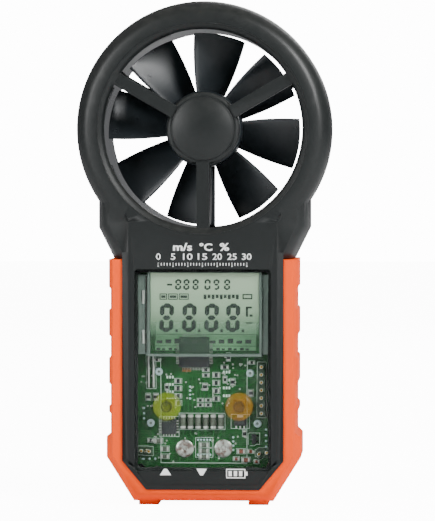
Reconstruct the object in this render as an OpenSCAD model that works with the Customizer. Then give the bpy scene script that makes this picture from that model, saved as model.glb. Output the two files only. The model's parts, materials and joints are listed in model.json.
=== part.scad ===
// Handheld weather meter: a vane wheel in a round duct above a slim body that
// carries a display, a circuit board, two push keys and a 9 V battery.
// Millimetres. It stands upright on its two foot pads: +Z up, front faces -Y,
// origin on the ground under the middle of the body.

/* [Head] */
// Outer radius of the round head
head_r = 41.75; // [38:0.25:52]
// Width of the sloped flank between the head's front face and its outside
flank_w = 4.25; // [3:0.25:5]
// Depth of the sloped flank, front to back
flank_d = 7; // [4:0.5:9]
// Distance from the head's outside to the inside of the duct
rim_w = 9.35; // [8.6:0.05:12]
// Wall of the duct sleeve
sleeve_wall = 1.95; // [1.2:0.05:2.4]
// Gap between the top of the side grips and the head's ring
head_gap = 0.9; // [0.5:0.1:6]

/* [Body] */
// Depth of the casing, front face to back of the head
case_d = 37.5; // [37:0.5:48]
// How far the push keys stand proud of the front face
key_proud = 0.5; // [0.2:0.1:1.5]
// Wall of the casing
wall = 2; // [1.6:0.1:2.4]
// Thickness of the front panel around the window
front_wall = 2.8; // [2.4:0.1:3.4]
// How far the grip part's back lies in front of the head's back
back_step = 0.5; // [0.2:0.1:1.5]
// Half width of the raised front panel
panel_hw = 24.3; // [24:0.1:25.5]
// Height of the raised front panel over the casing beside it
panel_rise = 0.5; // [0.2:0.1:0.8]
// Half width of the dark casing between the side grips
core_hw = 26.3; // [26:0.1:30]
// Half width of the neck
neck_hw = 34.7; // [33:0.1:37]

/* [Side grips] */
// Height of the top of the side grips
grip_h = 80.6; // [80:0.2:100]
// Thickness of the soft side grip at a rib
grip_t = 4.6; // [3.6:0.1:6]
// Extra thickness of the grip at the foot
foot_t = 1; // [0.5:0.1:2]
// Height of the foot section
foot_h = 28.4; // [24:0.2:32]
// Depth of each finger recess
recess_d = 0.7; // [0.3:0.1:1.5]
// Pitch of the finger recesses
recess_pitch = 15.7; // [13:0.1:18]
// Height of each finger recess
recess_h = 6.4; // [4:0.1:9]
// Thickness of the foot pads
pad_h = 1.3; // [0.8:0.1:2]

/* [Window and display] */
// Half width of the clear window opening
window_hw = 21.3; // [20.6:0.1:21.8]
// Height of the window opening's lower edge
window_low = 12.6; // [12:0.1:14]
// Distance from the top of the grips down to the window opening's upper edge
window_drop = 4.2; // [3.5:0.1:6]
// Thickness of the window lens
lens_t = 1.5; // [1:0.1:1.7]
// Width of the display glass
lcd_w = 35.6; // [32:0.2:37]
// Height of the display glass
lcd_h = 26.5; // [24:0.1:28]
// Thickness of each display glass
lcd_glass_t = 0.7; // [0.5:0.1:1.1]

/* [Keys] */
// Radius of a push key
key_r = 4.6; // [3.8:0.1:5]
// Distance of each key from the middle
key_x = 11.8; // [9.6:0.1:13]
// Distance from the display's lower edge down to the keys' axes
key_drop = 17.2; // [14:0.1:20]
// Travel of a push key
key_travel = 0.6; // [0.3:0.1:0.9]

/* [Board] */
// Thickness of the circuit board
board_t = 1.6; // [1:0.1:2]
// Half width of the circuit board
board_hw = 22.4; // [22:0.1:23.4]

/* [Vane wheel] */
// Number of blades
blades = 8; // [5:1:10]
// Radius of the vane wheel's hub
vane_hub_r = 12.5; // [9:0.25:14]
// Gap between the blade tips and the duct
tip_gap = 0.9; // [0.7:0.1:2.5]
// Length of the blades along the duct
blade_d = 10; // [7:0.5:12]
// Thickness of a blade
blade_t = 0.9; // [0.7:0.1:1.4]
// Radius of the steel shaft
shaft_r = 0.75; // [0.5:0.05:1.2]
// Number of struts in each guard
struts = 3; // [3:1:4]
// Width of a strut
strut_w = 4.2; // [3:0.1:6]
// Radius of the guard's hub
guard_hub_r = 11.9; // [8:0.1:13]

/* [Battery] */
// Width of the battery
battery_w = 26.5; // [24:0.5:27]
// Thickness of the battery
battery_t = 17.5; // [15:0.5:17.5]
// Height of the battery's case
battery_h = 46; // [42:0.5:47]
// Thickness of the battery door
door_t = 2; // [1.6:0.1:2.4]

/* [Hidden] */
$fn = 96;

// Clearances
fit = 0.05;      // between pieces that are pushed together
running = 0.05;  // between the shaft and its bearings, and at the door's pins
gap = 0.3;       // between pieces that move past each other
eps = 0.01;

// Front and back planes: the key tops and the back of the head are the ends
front_y = -(case_d + key_proud) / 2 + key_proud;
rear_y = (case_d + key_proud) / 2;
core_rear_y = rear_y - back_step;
core_front_y = front_y + panel_rise;
inner_front_y = front_y + front_wall;
inner_rear_y = core_rear_y - wall;

// Head and duct
head_z = grip_h + head_gap + head_r;
crease_r = head_r - flank_w;
throat_r = head_r - rim_w;
sleeve_r = throat_r + sleeve_wall;
bore_r = sleeve_r + fit;
collar_r = sleeve_r + 1.6;
guard_ring_d = 3.4;
lip_chamfer = 1.75;
sleeve_front_y = front_y + guard_ring_d + 0.1;
sleeve_rear_y = rear_y - guard_ring_d - 0.1;

// Neck
neck_low = grip_h + 0.3;
neck_wide_z = grip_h + 10.4;
neck_low_hw = core_hw + grip_t - 0.7;
neck_top = head_z - head_r / 2;
neck_facets = [[0, 9], [1.7, 3.2], [4.1, 0.7]];

// Dark core and side grips
core_low = 5.4;
core_corner_z = 14.8;
core_corner_in = 7.8;
rib_hw = core_hw + grip_t;
foot_hw = rib_hw + foot_t;
foot_corner_z = 15.7;
foot_corner_in = 9;
grip_front_y = front_y + 1;
grip_rear_y = core_rear_y - 1;
grip_bevel = 2.4;
grip_bevel_d = 5;
recess_count = 3;
foot_pad_w = 6.5;
foot_pad_x = 18;
foot_pad_d = 13;

// Front panel
panel_fillet = 4.2;
fillet_dz = sqrt(pow(crease_r + panel_fillet, 2) - pow(panel_hw + panel_fillet, 2));

// Window and lens
window_top = grip_h - window_drop;
window_edge = 1;
lens_front_y = front_y + 0.2;
lens_rear_y = lens_front_y + lens_t;
tape_t = 0.2;
window_corner = 1.2;

// Display stack
lcd_x = 0.5;
lcd_top = window_top - 0.2;
lcd_low = lcd_top - lcd_h;
lcd_front_y = inner_front_y + 0.5;
polariser_t = 0.2;
contact_ledge = 1.5;
lcd_glass_y = lcd_front_y + polariser_t;
lcd_mid_y = lcd_glass_y + lcd_glass_t;
lcd_rear_y = lcd_mid_y + lcd_glass_t;
lcd_frame_t = 0.9;

// Board
board_front_y = lcd_rear_y + 3.9;
board_rear_y = board_front_y + board_t;
board_low = 12;
board_corner = 3.2;
board_top = grip_h + 0.6;
board_screw_x = 17.5;
board_screw_z = window_top + window_edge + 2;
board_screw_r = 1;

// Keys and their switches
key_z = lcd_low - key_drop;
key_front_y = front_y - key_proud;
key_flange_r = key_r + 1;
key_rise = 0.5;
switch_w = 4.2;
switch_h = 3;
switch_front_y = board_front_y - switch_h;
plunger_r = 1.7;
key_rear_y = switch_front_y - key_travel - 0.2;

// Battery bay in the back
tub_wall = 1.4;
bay_hw = battery_w / 2 + 0.6;
bay_low = 14.3;
door_rear_y = core_rear_y;
door_front_y = door_rear_y - door_t;
battery_rear_y = door_front_y - 0.8;
battery_front_y = battery_rear_y - battery_t;
bay_front_y = battery_front_y - 0.3;
battery_low = 22.6;
bay_top = battery_low + battery_h + 1;
snap_h = 2.9;
snap_x = 6.35;
contact_z = 18.3;
contact_t = 0.4;
door_hw = bay_hw + 1.2;
door_pin_r = 0.8;
door_axis_y = (door_front_y + door_rear_y) / 2;
door_axis_z = bay_low + gap + door_t / 2;
door_top = bay_top + 2;

// Vane wheel and guards
vane_r = throat_r - tip_gap;
blade_front_y = front_y + 8.4;
vane_hub_front_y = front_y + 6.8;
vane_hub_rear_y = blade_front_y + blade_d + 1.8;
guard_front_y = front_y + 2.4;
guard_rear_y = front_y + 6;
cap_r = guard_hub_r - 1.6;
cap_rise = 2.2;
bearing_r = 2.5;
bearing_d = 2.4;
magnet_d = 2.8;
magnet_r = 6.5;
rear_hub_front_y = vane_hub_rear_y + magnet_d + 3.4;
rear_guard_front_y = rear_y - 6;
rear_guard_rear_y = rear_y - 1.4;
rear_hub_r = 9;
first_strut = 270;
first_blade = 35.8;
blade_root_r = vane_hub_r - 0.8;

// Cables
cable_r = 0.7;
cable_y = rear_y - 4.3;
hall_drop = 5.2;
hall_rear_y = rear_hub_front_y + 1.6;

// ---- shape helpers ----

// A flat outline in X and Z, extruded between two depths
module prism(points, y_low, y_high)
    translate([0, y_high, 0]) rotate([90, 0, 0]) linear_extrude(y_high - y_low) polygon(points);

// A round bar along Y
module rod(r, y_low, y_high, x = 0, z = 0)
    translate([x, y_high, z]) rotate([90, 0, 0]) cylinder(r = r, h = y_high - y_low);

// A box between two corners
module block(low, high)
    translate(low) cube(high - low);

// A ring or disc about an axis along Y, the duct's if not told; points are [radius, y]
module turned(points, x = 0, z = head_z)
    translate([x, 0, z]) rotate([90, 0, 0])
        rotate_extrude() polygon([for (p = points) [p[0], -p[1]]]);

// Points of a low dome of radius r that rises by "rise" towards the front from "y"
function dome(r, rise, y) =
    let (ball_r = (r * r + rise * rise) / (2 * rise))
    [for (i = [0 : 8]) let (x = r * (1 - i / 8))
        [x, y - (sqrt(ball_r * ball_r - x * x) - ball_r + rise)]];

// A plate with round corners, extruded between two depths
module rounded_plate(x_low, x_high, z_low, z_high, r, y_low, y_high) {
    block([x_low + r, y_low, z_low], [x_high - r, y_high, z_high]);
    block([x_low, y_low, z_low + r], [x_high, y_high, z_high - r]);
    for (x = [x_low + r, x_high - r], z = [z_low + r, z_high - r]) rod(r, y_low, y_high, x, z);
}

// Both sides of the middle
module both_sides() {
    children();
    mirror([1, 0, 0]) children();
}

// Half outline of a body with cut lower corners, moved inwards by "inset"
function cut_corner(hw, corner_z, corner_in, low, inset) =
    let (b = hw - corner_in,
         rise = corner_z - low,
         slope = sqrt(pow(corner_in, 2) + pow(rise, 2)),
         side_z = low + (rise * (corner_in - inset) + inset * slope) / corner_in,
         base_x = b + inset * (corner_in - slope) / rise)
    [[hw - inset, side_z], [base_x, low + inset]];

function closed_outline(half, top_hw, top) =
    concat([[top_hw, top]], half, [for (i = [len(half) - 1 : -1 : 0]) [-half[i][0], half[i][1]]],
           [[-top_hw, top]]);

function core_outline(inset, top) =
    closed_outline(cut_corner(core_hw, core_corner_z, core_corner_in, core_low, inset),
                   core_hw - inset, top);

function foot_outline(inset) =
    closed_outline(cut_corner(foot_hw, foot_corner_z, foot_corner_in, pad_h, inset),
                   foot_hw - inset, grip_h);

function neck_outline(inset, top) =
    closed_outline([[neck_hw - inset, neck_wide_z + inset / 3],
                    [neck_low_hw - inset, neck_low + 2],
                    [neck_low_hw - inset - 0.5, neck_low]], neck_hw - inset, top);

// Points of the head's flank, from the outside in towards a flat face at "face_y"
function flank(face_y, side, inset) =
    [for (a = [90 : -15 : 30])
        [crease_r - inset * 0.6 + (flank_w - inset * 0.4) * (sin(a) - 0.5) / 0.5,
         face_y + side * (inset + flank_d * (cos(30) - cos(a)) / cos(30))]];

// ---- casing ----

// The neck's faceted block, all outside faces moved inwards by "inset"
module neck_block(inset) {
    hull()
        for (f = neck_facets)
            prism(neck_outline(f[0] + inset, neck_top),
                  core_front_y + f[1] + inset, core_rear_y - f[1] - inset);
}

// Everything inside the casing's outer faces
module case_solid() {
    turned(concat([[0, rear_y]], [for (i = [4 : -1 : 0]) flank(rear_y, -1, 0)[i]],
                  flank(front_y, 1, 0), [[0, front_y]]));
    neck_block(0);
    prism(core_outline(0, neck_low + 2), core_front_y, core_rear_y);
    prism(core_outline(core_hw - panel_hw, head_z - fillet_dz + eps), front_y, core_front_y + 1);
    difference() {
        block([-panel_hw - panel_fillet, front_y, head_z - fillet_dz],
              [panel_hw + panel_fillet, core_front_y + 1,
               head_z - fillet_dz * crease_r / (crease_r + panel_fillet)]);
        both_sides() rod(panel_fillet, front_y - 1, rear_y, panel_hw + panel_fillet,
                         head_z - fillet_dz);
    }
}

// The hollow inside the casing
module case_hollow() {
    turned(concat([[sleeve_r, rear_y - wall]],
                  [for (i = [4 : -1 : 0]) flank(rear_y, -1, wall)[i]],
                  flank(front_y, 1, wall), [[sleeve_r, front_y + wall]]));
    neck_block(wall);
    prism(core_outline(wall + 0.2, neck_low + 4), inner_front_y, inner_rear_y);
}

// The collar that holds the duct sleeve and a guard ring
module collar(y_low, y_high)
    turned([[throat_r, y_low], [collar_r, y_low], [collar_r, y_high], [throat_r, y_high]]);

case_screw_places = [[neck_hw - 6.6, neck_wide_z + 1.2], [16.5, core_low + 3]];
case_screw_r = 1.4;
screw_boss_r = 3.3;

module front_shell() color([0.18, 0.19, 0.19]) difference() {
    union() {
        intersection() {
            difference() {
                case_solid();
                case_hollow();
            }
            block([-head_r - 1, front_y - 1, 0], [head_r + 1, 0, head_z + head_r + 1]);
        }
        collar(front_y + 1, sleeve_front_y + 4);
        intersection() {
            union()
                for (p = case_screw_places)
                    both_sides() rod(screw_boss_r, core_front_y + 3, 0, p[0], p[1]);
            case_solid();
        }
        both_sides() rod(2.2, inner_front_y - eps, board_front_y, board_screw_x, board_screw_z);
        both_sides() block([14, inner_front_y - eps, core_low + 1],
                           [16, board_front_y, board_low + 0.5]);
    }
    rod(bore_r, front_y - 1, rear_y, 0, head_z);
    rounded_plate(-window_hw - window_edge, window_hw + window_edge, window_low - window_edge,
                  window_top + window_edge, window_corner, front_y - 1, lens_rear_y + tape_t);
    rounded_plate(-window_hw, window_hw, window_low, window_top, window_corner,
                  front_y, inner_front_y + 1);
    for (p = case_screw_places)
        both_sides() rod(case_screw_r + fit, core_front_y + 5, 1, p[0], p[1]);
    both_sides() rod(board_screw_r + fit, inner_front_y + 0.6, board_front_y + 1,
                     board_screw_x, board_screw_z);
}

vent_count = 5;
vent_pitch = 2.6;

module rear_shell() color([0.18, 0.19, 0.19]) difference() {
    union() {
        intersection() {
            difference() {
                case_solid();
                case_hollow();
            }
            block([-head_r - 1, 0, 0], [head_r + 1, rear_y + 1, head_z + head_r + 1]);
        }
        collar(sleeve_rear_y - 4, rear_y - 1);
        intersection() {
            union()
                for (p = case_screw_places)
                    both_sides() rod(screw_boss_r, 0, core_rear_y - 1, p[0], p[1]);
            case_solid();
        }
        block([-bay_hw - tub_wall, bay_front_y - tub_wall, bay_low - tub_wall],
              [bay_hw + tub_wall, core_rear_y - eps, bay_top + tub_wall]);
        // Seats that carry the door's edge and its hinge pins
        block([-door_hw - 2.2, door_front_y - 1.2, bay_low - tub_wall],
              [door_hw + 2.2, core_rear_y - eps, door_top + 1.4]);
        // Posts that carry the humidity sensor, and posts that steady the board
        for (z = [-2.6, 2.6]) both_sides()
            rod(0.9, humidity_y, inner_rear_y + 0.5, humidity_hw - 1, humidity_z + z);
        for (x = [-9, 9], z = [30, 56]) rod(1.5, board_rear_y + 0.05, bay_front_y, x, z);
    }
    rod(bore_r, 0, rear_y + 1, 0, head_z);
    // Battery bay, door seat and the door's pin holes
    block([-bay_hw, bay_front_y, bay_low], [bay_hw, core_rear_y + 1, bay_top]);
    block([-door_hw - gap, door_front_y - 0.05, bay_low],
          [door_hw + gap, core_rear_y + 1, door_top + gap]);
    both_sides() translate([door_hw - 1, door_axis_y, door_axis_z]) rotate([0, 90, 0])
        cylinder(r = door_pin_r + running, h = 2.6);
    // Slots for the contact strips
    for (x = [-snap_x, snap_x])
        block([x - 2.2, bay_front_y - tub_wall - 1, contact_z - 0.5],
              [x + 2.2, bay_front_y + 1, contact_z + contact_t + 0.5]);
    // Screw holes and their deep counterbores
    for (p = case_screw_places) both_sides() {
        rod(case_screw_r + 0.2, -1, rear_y, p[0], p[1]);
        rod(screw_head_r + 0.2, core_rear_y - 6, rear_y + 1, p[0], p[1]);
    }
    // Vent slots over the humidity sensor
    for (i = [0 : vent_count - 1])
        block([-6, core_rear_y - wall - 2, vent_low + i * vent_pitch],
              [6, core_rear_y + 1, vent_low + i * vent_pitch + 1.3]);
    // Thumb recess at the top of the door
    translate([0, core_rear_y + 2.6, door_top + 1]) rotate([0, 90, 0])
        cylinder(r = 4, h = 14, center = true);
    sensor_channel();
}

vent_low = door_top + 3.6;
screw_head_r = 2.2;

module case_screws() color([0.62, 0.62, 0.63])
    for (p = case_screw_places) both_sides() difference() {
        union() {
            rod(case_screw_r, core_front_y + 5.4, core_rear_y - 5.9, p[0], p[1]);
            rod(screw_head_r, core_rear_y - 6, core_rear_y - 4.2, p[0], p[1]);
        }
        for (a = [0, 90])
            translate([p[0], core_rear_y - 4.6, p[1]]) rotate([0, a, 0])
                cube([0.6, 1.2, 3], center = true);
    }

// The soft grip all round the core, both halves
module grip_solid() {
    difference() {
        intersection() {
            hull() {
                prism(foot_outline(0), grip_front_y + grip_bevel_d, grip_rear_y - grip_bevel_d);
                prism(foot_outline(grip_bevel), grip_front_y, grip_rear_y);
            }
            union() {
                block([-rib_hw, grip_front_y - 1, foot_h], [rib_hw, grip_rear_y + 1, grip_h]);
                prism([[-foot_hw, 0], [foot_hw, 0], [foot_hw, foot_h], [rib_hw, foot_h + 2],
                       [-rib_hw, foot_h + 2], [-foot_hw, foot_h]],
                      grip_front_y - 1, grip_rear_y + 1);
            }
        }
        for (i = [0 : recess_count - 1]) both_sides() recess(grip_h - 9.6 - i * recess_pitch);
        both_sides() recess(foot_h + 1.8);
        prism(core_outline(0, grip_h + 1), grip_front_y - 1, grip_rear_y + 1);
    }
    both_sides() block([foot_pad_x - foot_pad_w / 2, -foot_pad_d, 0],
                       [foot_pad_x + foot_pad_w / 2, foot_pad_d, pad_h + 1]);
}

// A finger recess whose upper edge is at "top"
module recess(top)
    prism([[rib_hw + 1, top + 1.4], [rib_hw - recess_d, top], [rib_hw - recess_d, top - recess_h],
           [rib_hw + 1, top - recess_h - 1.4]], grip_front_y - 1, grip_rear_y + 1);

module front_grip() color([0.95, 0.42, 0.17]) intersection() {
    grip_solid();
    block([-foot_hw - 1, front_y, -1], [foot_hw + 1, 0, grip_h + 1]);
}

module rear_grip() color([0.95, 0.42, 0.17]) intersection() {
    grip_solid();
    block([-foot_hw - 1, 0, -1], [foot_hw + 1, rear_y, grip_h + 1]);
}

// ---- window and display ----

module window_lens() color([0.75, 0.8, 0.8, 0.35]) difference() {
    rounded_plate(-window_hw - window_edge + fit, window_hw + window_edge - fit,
                  window_low - window_edge + fit, window_top + window_edge - fit,
                  window_corner - fit, lens_front_y, lens_rear_y);
    for (x = [-key_x, key_x]) rod(key_r + gap, front_y - 1, inner_front_y, x, key_z);
}

module window_tape() color([0.1, 0.1, 0.1]) difference() {
    rounded_plate(-window_hw - window_edge + fit, window_hw + window_edge - fit,
                  window_low - window_edge + fit, window_top + window_edge - fit,
                  window_corner - fit, lens_rear_y, lens_rear_y + tape_t);
    rounded_plate(-window_hw - fit, window_hw + fit, window_low - fit, window_top + fit,
                  window_corner, front_y, inner_front_y);
}

module lcd_plate(y_low, y_high, low = 0, high = 0, side = 0)
    block([lcd_x - lcd_w / 2 + side, y_low, lcd_low + low],
          [lcd_x + lcd_w / 2 - side, y_high, lcd_top - high]);

module lcd_frame() color([0.3, 0.33, 0.32]) difference() {
    lcd_plate(inner_front_y + 0.1, board_front_y, -lcd_frame_t, -lcd_frame_t, -lcd_frame_t);
    lcd_plate(front_y, board_rear_y, -fit, -fit, -fit);
    // Openings in the side rails
    block([-board_hw, lcd_rear_y + 0.8, lcd_low + 3], [board_hw, board_front_y - 0.9, lcd_top - 4]);
    block([chip_x - 7, lcd_rear_y + 0.8, lcd_low - 2], [chip_x + 7, board_rear_y, lcd_low + 1]);
}

module lcd_polariser() color([0.72, 0.78, 0.7, 0.4])
    lcd_plate(lcd_front_y, lcd_glass_y, 0.4, contact_ledge + 0.2, 0.4);

module lcd_front_glass() color([0.72, 0.78, 0.7, 0.4]) lcd_plate(lcd_glass_y, lcd_mid_y);

module lcd_rear_glass() color([0.72, 0.78, 0.7, 0.4])
    lcd_plate(lcd_mid_y, lcd_rear_y, 0, contact_ledge + 0.3);

module lcd_reflector() color([0.6, 0.68, 0.6, 0.6])
    lcd_plate(lcd_rear_y, lcd_rear_y + 0.2, 0.4, contact_ledge + 0.5, 0.4);

// The rubber strip that joins the display's contacts to the board
module contact_strip() color([0.85, 0.5, 0.55])
    block([lcd_x - lcd_w / 2 + 1, lcd_mid_y, lcd_top - contact_ledge],
          [lcd_x + lcd_w / 2 - 1, board_front_y, lcd_top - 0.1]);

// ---- circuit board ----

// A part soldered flat on the board: centre, width, height, thickness
module on_board(x, z, w, h, t)
    block([x - w / 2, board_front_y - t, z - h / 2], [x + w / 2, board_front_y, z + h / 2]);

rivet_places = [[-14.8, key_z + 11], [15.1, key_z + 10.6], [-17.6, 26.6], [17.6, 26.5]];
rivet_r = 0.9;
header_x = 18.9;
header_pins_count = 7;
pitch = 2.54;
header_low = 30;
link_places = [[-20.6, 17.5], [18.1, 17.1]];
chip_x = -3.2;
chip_z = lcd_low + 0.3;
chip_w = 10;
lead_count = 16;
lead_pitch = 0.5;
link_wire_r = 0.35;

module main_board() color([0.08, 0.3, 0.13]) difference() {
    prism(closed_outline([[board_hw, board_low + board_corner],
                          [board_hw - board_corner, board_low]], board_hw, board_top),
          board_front_y, board_rear_y);
    both_sides() rod(board_screw_r + 0.2, board_front_y - 1, board_rear_y + 1,
                     board_screw_x, board_screw_z);
    for (p = rivet_places)
        rod(rivet_r + fit, board_front_y - 1, board_rear_y + 1, p[0], p[1]);
    for (x = [-snap_x, snap_x])
        rod(1.2 + fit, board_front_y - 1, board_rear_y + 1, x, contact_z);
    for (i = [0 : header_pins_count - 1])
        rod(0.45, board_front_y - 1, board_rear_y + 1, header_x, header_low + i * pitch);
    for (p = link_places, i = [0, 1])
        rod(0.45, board_front_y - 1, board_rear_y + 1, p[0] + i * pitch, p[1]);
}

module microcontroller() color([0.2, 0.2, 0.22]) on_board(chip_x, chip_z, chip_w, chip_w, 1.4);

module microcontroller_leads() color([0.75, 0.76, 0.76])
    for (side = [0 : 3], i = [0 : lead_count - 1])
        translate([chip_x, board_front_y - 0.2, chip_z]) rotate([0, side * 90, 0])
            translate([(i - (lead_count - 1) / 2) * lead_pitch, 0, chip_w / 2 + 0.5])
                cube([0.24, 0.4, 1], center = true);

module memory_chip() color([0.12, 0.12, 0.13]) on_board(-11.5, 25.5, 4.9, 4.9, 1.1);

module regulator() color([0.12, 0.12, 0.13]) on_board(11.9, 27.2, 4, 2.6, 1.3);

module transistor() color([0.12, 0.12, 0.13]) {
    on_board(16.4, 21.6, 1.4, 2.9, 1);
    for (z = [-0.95, 0.95]) on_board(17.5, 21.6 + z, 0.8, 0.4, 0.3);
    on_board(15.3, 21.6, 0.8, 0.4, 0.3);
}

// Rows of small parts: first place, step, count, and whether they lie across
resistor_rows = [[[-8.5, 33.2], [0, 2.42], 4], [[4, 34.7], [0, 2.6], 4]];
upright_resistors = [[-18.4, 35.2], [-15.9, 35.2], [15.4, 36.6], [0.3, 38.6], [9.4, 40.2]];

module smd_resistors() color([0.1, 0.1, 0.11]) {
    for (row = resistor_rows, i = [0 : row[2] - 1])
        on_board(row[0][0] + i * row[1][0], row[0][1] + i * row[1][1], 2, 1.25, 0.55);
    for (p = upright_resistors) on_board(p[0], p[1], 1.25, 2, 0.55);
}

capacitor_places = [[-15, 20.8], [-12.9, 18.3], [-12.9, 15.7], [12.2, 17.4], [13.8, 14.6]];

module smd_capacitors() color([0.6, 0.45, 0.3]) {
    for (p = capacitor_places) on_board(p[0], p[1], 2.5, 1.3, 0.9);
    for (z = [0 : 2]) on_board(0, 15.6 + z * 1.95, 3, 1.3, 0.8);
}

diode_count = 6;

module diode_row() color([0.75, 0.7, 0.55])
    for (i = [0 : diode_count - 1])
        translate([-6.9 + i * 2.5, board_front_y - 1, 24.9]) cylinder(r = 0.95, h = 4.6);

module pin_header() color([0.1, 0.1, 0.1]) difference() {
    on_board(header_x, header_low + 3 * pitch, pitch, header_pins_count * pitch, 1.6);
    for (i = [0 : header_pins_count - 1])
        block([header_x - 0.37, front_y, header_low + i * pitch - 0.37],
              [header_x + 0.37, rear_y, header_low + i * pitch + 0.37]);
}

module square_pin(x, z, y_low)
    block([x - 0.3, y_low, z - 0.3], [x + 0.3, board_rear_y + 1, z + 0.3]);

module header_pins() color([0.85, 0.75, 0.45])
    for (i = [0 : header_pins_count - 1])
        square_pin(header_x, header_low + i * pitch, board_front_y - 2.6);

module link_headers() color([0.1, 0.1, 0.1])
    for (p = link_places) difference() {
        on_board(p[0] + pitch / 2, p[1], 2 * pitch - 0.4, pitch, 1.6);
        for (i = [0, 1])
            block([p[0] + i * pitch - 0.37, front_y, p[1] - 0.37],
                  [p[0] + i * pitch + 0.37, rear_y, p[1] + 0.37]);
    }

module link_pins() color([0.85, 0.75, 0.45])
    for (p = link_places, i = [0, 1]) square_pin(p[0] + i * pitch, p[1], board_front_y - 2.6);

// Two bare wire links that lie on the board
module wire_links() color([0.8, 0.8, 0.8])
    for (x = [-18.15, -16.55])
        translate([x, board_front_y - link_wire_r, key_z + 5.8])
            cylinder(r = link_wire_r, h = 10.4);

// Plastic snap rivets that pin the board's insulating sheet
module board_rivets() color([0.8, 0.86, 0.88])
    for (p = rivet_places) {
        rod(rivet_r, board_front_y - 0.1, board_rear_y + 0.6, p[0], p[1]);
        rod(1.3, board_front_y - 0.6, board_front_y, p[0], p[1]);
    }

module board_screws() color([0.7, 0.7, 0.7]) both_sides() {
    rod(board_screw_r, inner_front_y + 0.8, board_rear_y, board_screw_x, board_screw_z);
    rod(1.9, board_rear_y, board_rear_y + 1.3, board_screw_x, board_screw_z);
}

// ---- keys ----

module tactile_switches() color([0.16, 0.16, 0.17])
    for (x = [-key_x, key_x]) difference() {
        on_board(x, key_z, switch_w, switch_w, switch_h);
        rod(plunger_r + fit, switch_front_y - 1, board_front_y - 0.6, x, key_z);
    }

module button(x) {
    turned(concat([[0, key_rear_y], [key_r, key_rear_y]], dome(key_r, key_rise, key_front_y + key_rise)),
           x, key_z);
    rod(key_flange_r, lens_rear_y + 0.25, lens_rear_y + 1.1, x, key_z);
}

module plunger(x)
    rod(plunger_r, key_rear_y, board_front_y - 1.4, x, key_z);

module left_button() color([0.55, 0.6, 0.28, 0.7]) button(-key_x);

module left_plunger() color([0.1, 0.1, 0.1]) plunger(-key_x);

module right_button() color([0.6, 0.5, 0.2, 0.7]) button(key_x);

module right_plunger() color([0.1, 0.1, 0.1]) plunger(key_x);

// ---- battery and its bay ----

module contact_rivets() color([0.8, 0.8, 0.8])
    for (x = [-snap_x, snap_x]) {
        rod(1.2, board_front_y - 0.1, board_rear_y + 0.6, x, contact_z);
        rod(2.95, board_front_y - 0.7, board_front_y, x, contact_z);
    }

module battery_contacts() color([0.78, 0.74, 0.6])
    for (x = [-snap_x, snap_x]) {
        block([x - 1.8, board_rear_y + 0.6, contact_z],
              [x + 1.8, battery_front_y + battery_t / 2 + 4, contact_z + contact_t]);
        block([x - 1.8, board_rear_y + 0.6, contact_z - 1.8],
              [x + 1.8, board_rear_y + 1, contact_z + contact_t]);
        block([x - 1.8, battery_front_y + battery_t / 2 - 3, contact_z],
              [x + 1.8, battery_front_y + battery_t / 2 + 3, battery_low - snap_h]);
    }

module battery() color([0.15, 0.15, 0.16])
    translate([0, 0, battery_low])
        linear_extrude(battery_h) battery_section();

module battery_section() {
    r = 2;
    y_low = battery_front_y;
    y_high = battery_rear_y;
    translate([-battery_w / 2 + r, y_low]) square([battery_w - 2 * r, battery_t]);
    translate([-battery_w / 2, y_low + r]) square([battery_w, battery_t - 2 * r]);
    for (x = [-battery_w / 2 + r, battery_w / 2 - r], y = [y_low + r, y_high - r])
        translate([x, y]) circle(r);
}

module battery_snaps() color([0.8, 0.8, 0.8])
    translate([0, battery_front_y + battery_t / 2, 0]) {
        translate([-snap_x, 0, battery_low - snap_h]) cylinder(r = 2.9, h = snap_h);
        translate([snap_x, 0, battery_low - snap_h]) difference() {
            cylinder(r = 4.2, h = snap_h);
            translate([0, 0, -1]) cylinder(r = 2.9, h = snap_h);
        }
    }

module battery_door() color([0.17, 0.18, 0.18]) difference() {
    union() {
        block([-door_hw, door_front_y, door_axis_z], [door_hw, door_rear_y, door_top]);
        translate([-door_hw, door_axis_y, door_axis_z]) rotate([0, 90, 0])
            cylinder(r = door_t / 2, h = 2 * door_hw);
        translate([-door_hw - 1.3, door_axis_y, door_axis_z]) rotate([0, 90, 0])
            cylinder(r = door_pin_r, h = 2 * door_hw + 2.6);
    }
    translate([0, core_rear_y + 2.6, door_top + 1]) rotate([0, 90, 0])
        cylinder(r = 4, h = 14, center = true);
    // Grip lines below the thumb recess
    for (i = [0 : 5]) block([-9, door_rear_y - 0.4, door_top - 7 - i * 1.8],
                            [9, door_rear_y + 1, door_top - 6.2 - i * 1.8]);
}

module door_pad() color([0.25, 0.25, 0.27])
    block([-9, door_front_y - 0.5, battery_low + 6],
          [9, door_front_y, battery_low + battery_h - 8]);

// ---- duct, guards and vane wheel ----

module duct_sleeve() color([0.1, 0.1, 0.1])
    difference() {
        turned([[throat_r, sleeve_front_y], [sleeve_r, sleeve_front_y],
                [sleeve_r, sleeve_rear_y], [throat_r, sleeve_rear_y]]);
        sensor_channel();
    }

// Struts from the hub to just short of the duct sleeve
module struts_between(r_low, r_high, y_low, y_high)
    for (i = [0 : struts - 1])
        translate([0, 0, head_z]) rotate([0, -first_strut - i * 360 / struts, 0])
            block([r_low, y_low, -strut_w / 2], [r_high, y_high, strut_w / 2]);

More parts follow.
